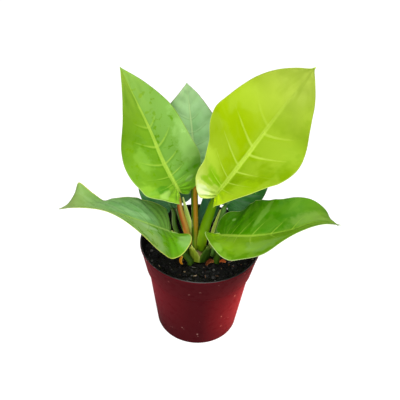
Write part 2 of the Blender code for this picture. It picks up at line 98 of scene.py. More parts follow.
# Place of the side veins along the outline: one lies here, the next ones this far apart
VEIN_ANCHOR = 7.6 / 14
VEIN_PITCH = 1.05 / 14
# Half the width that the chart "rib" covers across the midrib
RIB_CHART_REACH = 0.1

# The colour sockets of a Mix node
MIX_LOW, MIX_HIGH, MIX_RESULT = 6, 7, 2


class Value:
    """A number, vector or colour of a node tree, with the sums that the finishes are made of."""

    def __init__(self, graph: "Graph", socket: NodeSocket) -> None:
        """Keep the socket that gives it."""
        self.graph = graph
        self.socket = socket

    def __add__(self, other: "Term") -> "Value":
        """The sum."""
        return self.graph.math("ADD", self, other)

    def __sub__(self, other: "Term") -> "Value":
        """The difference."""
        return self.graph.math("SUBTRACT", self, other)

    def __rsub__(self, other: float) -> "Value":
        """What it leaves of a number."""
        return self.graph.math("SUBTRACT", other, self)

    def __mul__(self, other: "Term") -> "Value":
        """The product."""
        return self.graph.math("MULTIPLY", self, other)

    def __truediv__(self, other: "Term") -> "Value":
        """The quotient."""
        return self.graph.math("DIVIDE", self, other)

    def __pow__(self, power: float) -> "Value":
        """The power."""
        return self.graph.math("POWER", self, power)

    def __abs__(self) -> "Value":
        """The value without its sign."""
        return self.graph.math("ABSOLUTE", self)

    def ramp(self, low: "Term", high: "Term", start: "Term" = 0.0, end: "Term" = 1.0) -> "Value":
        """An eased change from start to end while this goes from low to high."""
        return self.graph.add("MapRange", "Result", {"Value": self, "From Min": low, "From Max": high,
                                                     "To Min": start, "To Max": end},
                              interpolation_type="SMOOTHSTEP")


# What a socket can take
Term = Value | float | Numbers | Colour


class Graph:
    """A node tree with short calls for the nodes that the finishes are made of."""

    def __init__(self, tree: NodeTree) -> None:
        """Keep the tree."""
        self.tree = tree

    def feed(self, socket: NodeSocket, source: Term) -> None:
        """Link a socket to a value, or set it.

        Args:
            socket: the socket.
            source: a value of this tree, a number, a vector or a colour.
        """
        if isinstance(source, Value):
            self.tree.links.new(source.socket, socket)
            return
        if isinstance(source, str):
            shares = [int(source[k:k + 2], 16) / 255 for k in (1, 3, 5)]
            source = (*(s / 12.92 if s <= 0.04045 else ((s + 0.055) / 1.055) ** 2.4 for s in shares), 1.0)
        socket.default_value = source

    def add(self, kind: str, result: str | int, inputs: dict[str | int, Term], **settings: object) -> Value:
        """Add a node and feed it.

        Args:
            kind: its type, without ShaderNode in front.
            result: name or number of the output that is wanted.
            inputs: what its inputs take, by name or number.
            settings: its own settings.

        Returns:
            The output.
        """
        made = self.tree.nodes.new("ShaderNode" + kind)
        for key, value in settings.items():
            setattr(made, key, value)
        for key, source in inputs.items():
            self.feed(made.inputs[key], source)
        return Value(self, made.outputs[result])

    def math(self, operation: str, *inputs: Term) -> Value:
        """A Math node's result."""
        return self.add("Math", 0, dict(enumerate(inputs)), operation=operation)

    def mix(self, factor: Term, low: Term, high: Term) -> Value:
        """A colour between two others."""
        return self.add("Mix", MIX_RESULT, {"Factor": factor, MIX_LOW: low, MIX_HIGH: high}, data_type="RGBA")

    def layers(self, base: Term, *coats: tuple[Term, Term]) -> Value:
        """Lay colours over a base.

        Args:
            base: the lowest colour.
            coats: mask and colour of each coat, from the lowest up.

        Returns:
            The colour that shows.
        """
        for mask, colour in coats:
            base = self.mix(mask, base, colour)
        return base

    def noise(self, vector: Value, scale: Term, detail: float = 2.0, roughness: float = 0.5,
              distortion: float = 0.0) -> Value:
        """A noise value about 0.5."""
        return self.add("TexNoise", "Fac", {"Vector": vector, "Scale": scale, "Detail": detail,
                                            "Roughness": roughness, "Distortion": distortion})

    def join(self, *parts: Term) -> Value:
        """A vector made of its parts."""
        return self.add("CombineXYZ", 0, dict(enumerate(parts)))

    def split(self, chart: Value) -> tuple[Value, Value, Value]:
        """Take a chart apart.

        Args:
            chart: the chart's vector.

        Returns:
            Its share along, its share across, and 0 to 1 from its middle out to its edges.
        """
        parts = self.add("SeparateXYZ", 0, {0: chart}).socket.node.outputs
        along, across = Value(self, parts[0]), Value(self, parts[1])
        return along, across, abs(across * 2.0 - 1.0)

    def position(self) -> Value:
        """The point on the object."""
        return self.add("TexCoord", "Object", {})

    def chart(self, name: str) -> Value:
        """A named UV map."""
        return self.add("UVMap", "UV", {}, uv_map=name)

    def bump(self, height: Value, strength: float, distance: float) -> Value:
        """A normal bent by a height."""
        return self.add("Bump", "Normal", {"Height": height, "Strength": strength, "Distance": distance})

    def place(self, effect: NodeTree, **inputs: Term) -> dict[str, Value]:
        """Place a shared effect.

        Args:
            effect: its group.
            inputs: what it takes, with _ for the spaces of a name.

        Returns:
            Its results by name.
        """
        named = {name.replace("_", " "): source for name, source in inputs.items()}
        made = self.add("Group", 0, named, node_tree=effect).socket.node
        return {socket.name: Value(self, socket) for socket in made.outputs}

    def patchy(self, vector: Value, scale: float, low: float, high: float) -> Value:
        """A soft patchy mask."""
        return self.place(mottle(), Vector=vector, Scale=scale, Low=low, High=high)["Mask"]


class Surface(Graph):
    """The graph of one material."""

    def __init__(self, name: str) -> None:
        """Start the material."""
        self.material = bpy.data.materials.new(name)
        self.material.use_nodes = True
        super().__init__(self.material.node_tree)

    def finish(self, **inputs: Term) -> Material:
        """Feed the Principled shader.

        Args:
            inputs: what it takes, with _ for the spaces of a name.

        Returns:
            The finished material.
        """
        shader = self.tree.nodes["Principled BSDF"]
        for name, source in inputs.items():
            self.feed(shader.inputs[name.replace("_", " ")], source)
        return self.material


class Effect(Graph):
    """A shared effect: a node group that takes and gives named values."""

    def __init__(self, name: str, vectors: Sequence[str], numbers: Sequence[str], results: Sequence[str]) -> None:
        """Start the group.

        Args:
            name: its name.
            vectors: names of the vectors that it takes.
            numbers: names of the numbers that it takes.
            results: names of the numbers that it gives.
        """
        super().__init__(bpy.data.node_groups.new(name, "ShaderNodeTree"))
        sockets = [(title, "INPUT", "Vector") for title in vectors] + [(title, "INPUT", "Float") for title in numbers]
        for title, way, kind in sockets + [(title, "OUTPUT", "Float") for title in results]:
            self.tree.interface.new_socket(title, in_out=way, socket_type="NodeSocket" + kind)
        given = self.tree.nodes.new("NodeGroupInput")
        self.given = {socket.name: Value(self, socket) for socket in given.outputs}
        self.out = self.tree.nodes.new("NodeGroupOutput")

    def give(self, **results: Value) -> NodeTree:
        """Link the results.

        Args:
            results: the values by name.

        Returns:
            The finished group.
        """
        for name, value in results.items():
            self.feed(self.out.inputs[name], value)
        return self.tree


def vein_phase(effect: Effect) -> tuple[Value, Value, Value, Value]:
    """Count the side veins over a blade.

    Args:
        effect: a group that takes the blade's chart and the veins' course.

    Returns:
        Vein number, share along the outline, 0 to 1 across the blade, and 0 to 1 out to the margin.
    """
    given = effect.given
    along, across, edge = effect.split(given["Blade"])
    right = effect.math("GREATER_THAN", across, 0.5)
    lean = right * (given["Lean Right"] - given["Lean Left"]) + given["Lean Left"]
    lean = edge * (edge * given["Curl"] + lean)
    count = (along - lean - (VEIN_ANCHOR - VEIN_PITCH / 2)) / VEIN_PITCH
    return right * given["Stagger"] + count, along, across, edge


@cache
def leaf_veins() -> NodeTree:
    """Masks of the midrib, the side veins, the painted shade beside them and the margin, and their relief.

    Returns:
        The group.
    """
    effect = Effect("leaf_veins", ("Blade", "Rib"),
                    ("Lean Left", "Lean Right", "Curl", "Stagger", "Rib Width", "Vein Width", "Vein Reach",
                     "Vein End", "Rib End", "Margin Width"), ("Rib", "Veins", "Shade", "Margin", "Relief"))
    given = effect.given
    phase, along, _, edge = vein_phase(effect)
    offset = (effect.math("FRACT", phase) - 0.5) * VEIN_PITCH
    broken = effect.noise(given["Blade"], 9.0)
    reach = edge.ramp(0.1, given["Vein Reach"] * broken.ramp(0.35, 0.65, 0.75, 1.15), 1.0, 0.0)
    width = given["Vein Width"] * (reach * 0.7 + 0.3)
    ends = reach * along.ramp(given["Vein End"] - 0.14, given["Vein End"], 1.0, 0.0)
    side = abs(offset).ramp(width * 0.15, width, 1.0, 0.0) * ends
    # Painted shade: a dark band on the base side of each side vein, so that the veins read as raised
    flank = offset.ramp(width * -3.2, width * -0.9) * offset.ramp(width * -0.9, 0.0, 1.0, 0.0)
    share, across, _ = effect.split(given["Rib"])
    off = abs(across * (2 * RIB_CHART_REACH) - RIB_CHART_REACH)
    rib_width = effect.math("MAXIMUM", 1.0 - share, 0.0) ** 0.9 * given["Rib Width"] + 0.0002
    faded = along.ramp(given["Rib End"] - 0.25, given["Rib End"], 1.0, 0.0)
    rib = off.ramp(rib_width * 0.55, rib_width * 1.15, 1.0, 0.0) * (faded * 0.75 + 0.25)
    # Painted shade beside the midrib, so that it reads as raised
    beside = off.ramp(rib_width, rib_width * 2.2, 1.0, 0.0) * faded
    return effect.give(Rib=rib, Veins=side, Shade=effect.math("MAXIMUM", flank * ends, beside * 0.6),
                       Margin=edge.ramp(1.0 - given["Margin Width"], 1.0), Relief=rib + side * 0.6)


@cache
def leaf_panels() -> NodeTree:
    """Masks between the side veins: broad tones, pale streaks that are partly painted sheen, and painted shade in the
    lobes' folds.

    Returns:
        The group.
    """
    effect = Effect("leaf_panels", ("Blade",), ("Lean Left", "Lean Right", "Curl", "Stagger", "Seed"),
                    ("Broad", "Streaks", "Rays"))
    phase, _, across, edge = vein_phase(effect)
    seed = effect.given["Seed"]
    broad = effect.noise(effect.join(phase * 0.55, across * 4.4, seed), 1.0, 3.0, 0.5, 0.25)
    # Pale streaks along the veins: partly the leaf's own, partly painted sheen
    streaks = effect.noise(effect.join(phase * 3.4, across * 4.8, seed * 5.0), 1.0, 3.0, 0.5, 0.25)
    # Painted shade: dark on one flank of each fold in the lobes, fading towards the next vein
    wedge = effect.math("FRACT", phase + 0.5).ramp(0.02, 0.75, 1.0, 0.0) * edge.ramp(0.08, 0.30)
    return effect.give(Broad=broad.ramp(0.40, 0.62), Streaks=streaks.ramp(0.56, 0.68),
                       Rays=wedge * edge.ramp(0.55, 0.92, 1.0, 0.0))


@cache
def mottle() -> NodeTree:
    """A soft patchy mask.

    Returns:
        The group.
    """
    effect = Effect("mottle", ("Vector",), ("Scale", "Low", "High"), ("Mask",))
    given = effect.given
    value = effect.noise(given["Vector"], given["Scale"], 3.0, 0.45, 0.3)
    return effect.give(Mask=value.ramp(given["Low"], given["High"]))


@cache
def fibres() -> NodeTree:
    """Streaks that run along a stalk or a bract, and their relief.

    Returns:
        The group.
    """
    effect = Effect("fibres", ("Chart",), ("Count",), ("Streaks", "Relief"))
    run, around, _ = effect.split(effect.given["Chart"])
    value = effect.noise(effect.join(run * 4.0, around * effect.given["Count"]), 1.0, 4.0, 0.6, 0.1)
    return effect.give(Streaks=value.ramp(0.38, 0.66), Relief=value)


class Side(Enum):
    """A half of a blade, seen on its upper face with the tip up."""

    LEFT = 0
    RIGHT = 1


@dataclass(frozen=True)
class Patch:
    """A soft patch of another tone on one half of a blade, which in some finishes is a painted highlight.

    along, out: its middle, as shares along the outline and out to the margin. length, width: how far it
    reaches along and out. slant: how far it shifts along for each share out.
    """

    half: Side
    along: float
    out: float
    length: float
    width: float
    colour: Colour
    amount: float = 0.5
    slant: float = 0.0

    def mask(self, along: Value, across: Value, edge: Value, fray: Value) -> Value:
        """Where the patch lies.

        Args:
            along: share along the outline.
            across: share across the blade.
            edge: share out to the margin.
            fray: a value about 1 that roughens the patch's edge.

        Returns:
            Its mask.
        """
        here = along.graph.math("GREATER_THAN" if self.half is Side.RIGHT else "LESS_THAN", across, 0.5)
        out = edge - self.out
        run = along - self.along - out * self.slant
        away = abs(run / self.length) ** 2.0 + abs(out / self.width) ** 2.0
        return (away * fray).ramp(0.25, 1.2, self.amount, 0.0) * here


@dataclass(frozen=True)
class LeafFinish:
    """Colours and gloss of a blade: its two halves, lobes, tip and outer band, and what lies over them.

    Pairs of numbers are for the left and the right half, but lobe_span says where the lobes' colour fades
    along the outline. wax: how much of the bloom colour lies on each half, in patches wax_size metres wide,
    more of them at a lower wax_level. lobe_clear: how far the lobes are free of it. vein_end, rib_end: share
    of the outline at which they have faded. lobe_fold_shade, crease: how strongly painted shade darkens wedges on
    the lobes' folds and lines beside the veins. streak_and_sheen_amount: how strongly pale streaks, partly painted
    sheen, follow the veins. stagger: how far the right side veins start below the left ones.
    """

    left: Colour
    right: Colour
    lobes: tuple[Colour, Colour]
    tip: Colour
    band: Colour
    shade: Colour
    bloom: Colour
    vein: Colour
    margin: Colour
    under: Colour
    margin_tip: Colour = "#78742C"
    rib_width: float = 0.0020
    rib_end: float = 0.95
    vein_width: float = 0.0065
    vein_strength: float = 0.75
    vein_reach: float = 0.8
    vein_end: float = 0.82
    lean: Pair = (0.0, 0.0)
    curl: float = 0.03
    stagger: float = 0.0
    band_amount: Pair = (0.4, 0.4)
    shade_amount: float = 0.6
    wax: Pair = (0.4, 0.4)
    wax_size: float = 0.02
    wax_level: float = 0.5
    wax_edge: float = 0.08
    lobe_fold_shade: float = 0.0
    lobe_span: Pair = (0.16, 0.40)
    lobe_clear: float = 0.3
    crease: float = 0.5
    patches: tuple[Patch, ...] = ()
    streak_and_sheen_amount: float = 0.25
    margin_width: float = 0.025
    roughness: float = 0.36
    gloss: float = 0.12
    seed: float = 0.0

    def pattern(self, graph: Graph) -> tuple[dict[str, Value], dict[str, Value]]:
        """Place the vein and panel effects for this leaf.

        Args:
            graph: the material's graph.

        Returns:
            The masks of the veins and those of the panels.
        """
        blade = graph.chart("blade")
        course = {"Lean_Left": self.lean[0], "Lean_Right": self.lean[1], "Curl": self.curl, "Stagger": self.stagger}
        veins = graph.place(leaf_veins(), Blade=blade, Rib=graph.chart("rib"), Rib_Width=self.rib_width,
                            Vein_Width=self.vein_width, Vein_Reach=self.vein_reach, Vein_End=self.vein_end,
                            Rib_End=self.rib_end, Margin_Width=self.margin_width, **course)
        return veins, graph.place(leaf_panels(), Blade=blade, Seed=self.seed * 10, **course)

    def upper(self, name: str) -> Material:
        """Make the material of the upper face.

        Args:
            name: the leaf's name.

        Returns:
            The material.
        """
        graph = Surface(name + "_upper")
        veins, panels = self.pattern(graph)
        place = graph.position()
        wax = graph.patchy(place, 1 / self.wax_size, self.wax_level - self.wax_edge, self.wax_level + self.wax_edge)
        along, across, edge = graph.split(graph.chart("blade"))
        right = across.ramp(0.44, 0.56)
        lobes = along.ramp(*self.lobe_span, 1.0, 0.0)
        fray = graph.noise(place, 110.0, 3.0).ramp(0.3, 0.7, 0.6, 1.5)
        colour = graph.layers(
            self.left,
            (right, self.right),
            (edge.ramp(0.55, 0.95) * right.ramp(0.0, 1.0, *self.band_amount), self.band),
            (along.ramp(0.62, 0.95), self.tip),
            (lobes, graph.mix(right, *self.lobes)),
            (panels["Broad"] * self.shade_amount, self.shade),
            # Patches: tones of the leaf's own, and in some finishes painted highlights and painted light
            *((patch.mask(along, across, edge, fray), patch.colour) for patch in self.patches),
            # Painted shade in the lobes' folds
            (panels["Rays"] * lobes * self.lobe_fold_shade, self.shade),
            (wax * right.ramp(0.0, 1.0, *self.wax) * (1.0 - lobes * self.lobe_clear), self.bloom),
            # Painted shade beside the veins and the midrib
            (veins["Shade"] * self.crease, self.shade),
            # Pale streaks, partly painted sheen
            (panels["Streaks"] * (1.0 - lobes * 0.8) * self.streak_and_sheen_amount, self.bloom),
            (veins["Veins"] * self.vein_strength, self.vein),
            (veins["Rib"] * 0.9, self.vein),
            (veins["Margin"] * 0.85, graph.mix(along.ramp(0.40, 0.62), self.margin, self.margin_tip)))
        return graph.finish(Base_Color=colour, Specular_IOR_Level=self.gloss,
                            Roughness=wax.ramp(0.0, 1.0, self.roughness - 0.06, self.roughness + 0.1),
                            Normal=graph.bump(veins["Relief"], 0.6, 0.0006))

    def lower(self, name: str) -> Material:
        """Make the material of the underside and the cut edge.

        Args:
            name: the leaf's name.

        Returns:
            The material.
        """
        graph = Surface(name + "_lower")
        veins, panels = self.pattern(graph)
        colour = graph.layers(self.under, (panels["Broad"] * 0.4, self.left), (veins["Veins"] * 0.6, self.vein),
                              (veins["Rib"] * 0.7, self.vein), (veins["Margin"] * 0.8, self.margin))
        return graph.finish(Base_Color=colour, Roughness=0.55, Specular_IOR_Level=self.gloss,
                            Normal=graph.bump(veins["Relief"], 0.6, 0.0008))


@dataclass(frozen=True)
class StalkFinish:
    """Colours of a stalk: at its foot and its top, and down one side.

    side_turn: where that side lies round the stalk. side_reach: how far round its colour holds and fades.
    change: shares of the length between which the foot's colour gives way. channel, channel_turn: depth
    of the groove as a share of the radius, and where it lies, in radians from the front.
    """

    foot: Colour
    top: Colour
    side: Colour
    side_turn: float = 0.75
    side_amount: float = 0.8
    side_reach: Pair = (0.10, 0.30)
    change: Pair = (0.15, 0.6)
    channel: float = 0.10
    channel_turn: float = 0.4
    roughness: float = 0.38
    gloss: float = 0.2

    def material(self, name: str) -> Material:
        """Make the stalk's material, read from its own chart.

        Args:
            name: the stalk's name.

        Returns:
            The material.
        """
        graph = Surface(name + "_skin")
        run, around, _ = graph.split(graph.chart("skin"))
        lines = graph.place(fibres(), Chart=graph.chart("skin"), Count=26.0)
        patches = graph.patchy(graph.position(), 70.0, 0.35, 0.7)
        off = abs(around - self.side_turn)
        off = graph.math("MINIMUM", off, 1.0 - off)
        colour = graph.layers(
            self.foot,
            (run.ramp(*self.change), self.top),
            (off.ramp(*self.side_reach, 1.0, 0.0) * self.side_amount, self.side),
            (lines["Streaks"] * 0.22, self.side),
            (patches * 0.18, self.foot))
        return graph.finish(Base_Color=colour, Specular_IOR_Level=self.gloss,
                            Roughness=patches.ramp(0.0, 1.0, self.roughness - 0.05, self.roughness + 0.1),
                            Normal=graph.bump(lines["Relief"], 0.25, 0.0004))


@dataclass(frozen=True)
class PaperFinish:
    """Colours of a bract or a dried scrap."""

    base: Colour
    streak: Colour
    edge: Colour
    roughness: float = 0.6
    count: float = 16.0

    def material(self, name: str) -> Material:
        """Make the bract's fibrous material.

        Args:
            name: the bract's name.

        Returns:
            The material.
        """
        graph = Surface(name + "_skin")
        run, _, edge = graph.split(graph.chart("skin"))
        lines = graph.place(fibres(), Chart=graph.chart("skin"), Count=self.count)
        colour = graph.layers(self.base, (lines["Streaks"] * 0.75, self.streak), (edge.ramp(0.70, 1.0), self.edge),
                              (run.ramp(0.75, 1.0, 0.0, 0.6), self.edge))
        return graph.finish(Base_Color=colour, Roughness=self.roughness, Specular_IOR_Level=0.15,
                            Normal=graph.bump(lines["Relief"], 0.5, 0.0006))


@dataclass(frozen=True)
class PotFinish:
    """The red outside and the black inside of the pot. scuffs: the points with a pale scuff."""

    red: Colour = "#4E0E14"
    deep: Colour = "#420E18"
    scuff: Colour = "#CD968C"
    black: Colour = "#111112"
    dust: Colour = "#46423E"
    scuffs: Points = ((-.0103, -.0690, .107), (.0025, -.0708, .113), (.0457, -.0442, .0835), (.0319, -.0474, .030))

    def outer(self) -> Material:
        """Make the matte moulded plastic with a few pale scuffs.

        Returns:
            The material.
        """
        graph = Surface("pot_red")
        place = graph.position()
        cloud = graph.patchy(place, 9.0, 0.3, 0.75)
        grime = graph.patchy(place, 120.0, 0.45, 0.8)
        specks = graph.noise(place, 210.0, 1.0, 0.4).ramp(0.765, 0.80)
        broken = graph.noise(place, 620.0).ramp(0.44, 0.54)
        for point in self.scuffs:
            away = graph.add("VectorMath", "Value", {0: place, 1: point}, operation="DISTANCE")
            specks = graph.math("MAXIMUM", specks, away.ramp(0.0004, 0.0020, 0.8, 0.0) * broken)
        colour = graph.layers(self.red, (cloud * 0.35, self.deep), (grime * 0.18, self.deep),
                              (specks * 0.4, self.scuff))
        return graph.finish(Base_Color=colour, Roughness=grime.ramp(0.0, 1.0, 0.46, 0.6), Specular_IOR_Level=0.02,
                            Normal=graph.bump(graph.noise(place, 900.0), 0.12, 0.0003))

    def inner(self) -> Material:
        """Make the black plastic with dried soil on it.

        Returns:
            The material.
        """
        graph = Surface("pot_black")
        dirt = graph.patchy(graph.position(), 220.0, 0.52, 0.75)
        return graph.finish(Base_Color=graph.mix(dirt * 0.5, self.black, self.dust),
                            Roughness=dirt.ramp(0.0, 1.0, 0.35, 0.9), Normal=graph.bump(dirt, 0.3, 0.0004))


@dataclass(frozen=True)
class SoilFinish:
    """Black peat with crumbs of other tones, and some clods painted lighter towards their tops as a highlight."""

    dark: Colour = "#030303"
    brown: Colour = "#14110F"
    grey_and_glint: Colour = "#605E5C"
    rust: Colour = "#704628"
    pale: Colour = "#BAA27E"

    def material(self) -> Material:
        """Make the peat's material, where each crumb has its own tone and some clods have a painted highlight on top.

        Returns:
            The material.
        """
        graph = Surface("soil_peat")
        place = graph.position()
        tone = graph.add("Attribute", "Fac", {}, attribute_name="tone")
        patches = graph.patchy(place, 140.0, 0.42, 0.72)
        colour = graph.layers(
            self.dark,
            (patches * 0.5, self.brown),
            (graph.noise(place, 700.0, 3.0, 0.7).ramp(0.62, 0.72) * 0.12, self.rust),
            (tone.ramp(0.4, 0.7, 0.0, 0.7), self.brown),
            # Grey: grey crumbs of the peat's own, and the painted highlight on the tops of some clods
            (tone.ramp(0.68, 0.88, 0.0, 0.8), self.grey_and_glint),
            (tone.ramp(0.93, 0.95, 0.0, 0.9), self.rust),
            (tone.ramp(0.965, 0.975, 0.0, 0.9), self.pale))
        return graph.finish(Base_Color=colour, Roughness=patches.ramp(0.0, 1.0, 0.26, 0.9), Specular_IOR_Level=0.22,
                            Normal=graph.bump(graph.noise(place, 900.0, 4.0, 0.7), 0.9, 0.0007))


@dataclass(frozen=True)
class CrownFinish:
    """Green stem stock with paler rings where old leaves stood."""

    green: Colour = "#606C22"
    scar: Colour = "#968650"

    def material(self) -> Material:
        """Make the ringed, fibrous material.

        Returns:
            The material.
        """
        graph = Surface("crown_skin")
        place = graph.position()
        rings = graph.noise(graph.add("Mapping", "Vector", {"Vector": place, "Scale": (20, 20, 420)}), 1.0)
        colour = graph.layers(self.green, (rings.ramp(0.52, 0.62), self.scar),
                              (graph.patchy(place, 160.0, 0.4, 0.7) * 0.4, self.green))
        return graph.finish(Base_Color=colour, Roughness=0.6, Normal=graph.bump(rings, 0.6, 0.0008))


@dataclass(frozen=True)
class FloorFinish:
    """Pale matte paint that glows softly to the camera alone."""

    low: Colour = "#969798"
    high: Colour = "#9E9E9E"
    glow: float = 0.85

    def material(self) -> Material:
        """Make the floor's material.

        Returns:
            The material.
        """
        graph = Surface("floor_paint")
        tint = graph.noise(graph.position(), 3.0, 1.0).ramp(0.3, 0.7)
        seen = graph.add("LightPath", "Is Camera Ray", {})
        return graph.finish(Base_Color=graph.mix(tint, self.low, self.high), Roughness=0.9,
                            Emission_Color=(1, 1, 1, 1), Emission_Strength=seen * self.glow)


def spline(values: Points | Numbers, at: np.ndarray) -> np.ndarray:
    """Read a Catmull-Rom curve through evenly spaced values.

    Args:
        values: numbers or points.
        at: shares 0 to 1 of the curve's length.

    Returns:
        One number or point for each share.
    """
    points = np.asarray(values, float)
    last = len(points) - 1
    points = np.stack([2 * points[0] - points[1], *points, 2 * points[-1] - points[-2]])
    place = np.clip(at, 0.0, 1.0) * last
    low = np.minimum(place.astype(int), last - 1)
    t = (place - low).reshape(-1, *[1] * (points.ndim - 1))
    p0, p1, p2, p3 = (points[low + k] for k in range(4))
    return 0.5 * (2 * p1 + (p2 - p0) * t + (2 * p0 - 5 * p1 + 4 * p2 - p3) * t**2
                  + (3 * p1 - p0 - 3 * p2 + p3) * t**3)


def unit(vectors: np.ndarray) -> np.ndarray:
    """Vectors scaled to length 1."""
    return vectors / np.maximum(np.linalg.norm(vectors, axis=-1, keepdims=True), 1e-12)


def facing(along: np.ndarray, target: Triple) -> np.ndarray:
    """Directions square to the given ones, as near to the target's as they can be."""
    aim = unit(np.array(target, float))
    return unit(aim - (along @ aim)[:, None] * along)


def measure(line: np.ndarray) -> np.ndarray:
    """How far along a line each of its points lies."""
    return np.concatenate(([0.0], np.cumsum(np.linalg.norm(np.diff(line, axis=0), axis=1))))


def between(at: np.ndarray, places: np.ndarray, points: np.ndarray) -> np.ndarray:
    """Points read off straight lines between others, whose places are known."""
    return np.stack([np.interp(at, places, part) for part in points.T], 1)


def smoothstep(value: np.ndarray, low: float, high: float) -> np.ndarray:
    """0 below low, 1 above high, and an eased ramp between."""
    t = np.clip((value - low) / (high - low), 0, 1)
    return t * t * (3 - 2 * t)


def pick(obj: Object | None = None) -> None:
    """Select one object alone, or none.

    Args:
        obj: the object.
    """
    bpy.ops.object.select_all(action="DESELECT")
    if obj:
        bpy.context.view_layer.objects.active = obj
        obj.select_set(True)


def added(name: str) -> Object:
    """Name the object just added, and its mesh."""
    bpy.context.object.name = bpy.context.object.data.name = name
    return bpy.context.object


def grid(name: str, columns: int, rows: int) -> tuple[Object, np.ndarray, np.ndarray]:
    """Add a flat grid to be bent.

    Args:
        name: the object's name.
        columns: faces along it.
        rows: faces across it.

    Returns:
        The object, and the column and row share of each vertex.
    """
    pick()
    bpy.ops.mesh.primitive_grid_add(x_subdivisions=columns, y_subdivisions=rows, size=1.0, calc_uvs=False)
    obj = added(name)
    flat = np.zeros(len(obj.data.vertices) * 3)
    obj.data.vertices.foreach_get("co", flat)
    column, row, _ = flat.reshape(-1, 3).T + 0.5
    return obj, column, row


def bend(obj: Object, points: np.ndarray, **charts: tuple[np.ndarray, np.ndarray]) -> None:
    """Move an object's vertices and give it UV maps.

    Args:
        obj: the object.
        points: the vertices' new places.
        charts: two numbers a vertex for each map, by the map's name.
    """
    obj.data.vertices.foreach_set("co", points.ravel())
    obj.data.update()
    corners = np.zeros(len(obj.data.loops), int)
    obj.data.loops.foreach_get("vertex_index", corners)
    for name, chart in charts.items():
        layer = obj.data.uv_layers.new(name=name)
        layer.data.foreach_set("uv", np.stack(chart, 1)[corners].astype(np.float32).ravel())


def write_numbers(obj: Object, name: str, values: Numbers) -> None:
    """Give each vertex of a mesh a named number."""
    obj.data.attributes.new(name, "FLOAT", "POINT").data.foreach_set("value", values)


def weld(obj: Object, distance: float = 1e-5, closed: bool = False) -> None:
    """Merge vertices that lie together.

    Args:
        obj: the object.
        distance: how near they lie.
        closed: the mesh is closed now, and its faces turn outwards.
    """
    pick(obj)
    bpy.ops.object.mode_set(mode="EDIT")
    bpy.ops.mesh.select_all(action="SELECT")
    bpy.ops.mesh.remove_doubles(threshold=distance)
    if closed:
        bpy.ops.mesh.normals_make_consistent(inside=False)
    bpy.ops.object.mode_set(mode="OBJECT")


def apply_modifiers(obj: Object) -> None:
    """Apply every modifier of an object.

    Args:
        obj: the object.
    """
    pick(obj)
    for modifier in list(obj.modifiers):
        bpy.ops.object.modifier_apply(modifier=modifier.name)


def thicken(obj: Object, depth: float | np.ndarray) -> None:
    """Give a sheet its thickness below its upper face, with its last material on the underside and rim.

    Args:
        obj: the sheet.
        depth: the thickness, for all of it or by vertex.
    """
    solid = obj.modifiers.new("Thickness", "SOLIDIFY")
    solid.offset = -1.0
    deepest = float(np.max(depth))
    solid.thickness = deepest
    solid.material_offset = solid.material_offset_rim = len(obj.data.materials) - 1
    if np.ndim(depth):
        group = obj.vertex_groups.new(name="thickness")
        for index, value in enumerate(depth):
            group.add([index], float(value) / deepest, "REPLACE")
        solid.vertex_group = group.name
    apply_modifiers(obj)


def dress(obj: Object, *materials: Material) -> None:
    """Give an object its materials, in place of any that it has.

    Args:
        obj: the object.
        materials: its materials, in order.
    """
    obj.data.materials.clear()
    for material in materials:
        obj.data.materials.append(material)


def settle(obj: Object, slot: str, crease: float, replaces: bool = True) -> None:
    """Shade a finished piece smooth and fix it to the frame.

    Args:
        obj: the piece.
        slot: the name of the solid that the piece stands for.
        crease: the angle in degrees from which an edge stays sharp.
        replaces: the piece takes the solid's place.
    """
    pick(obj)
    bpy.ops.object.shade_smooth_by_angle(angle=math.radians(crease))
    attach(obj, BODY)
    if replaces:
        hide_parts(slot)
    LOG.info("%s: %d faces", obj.name, len(obj.data.polygons))


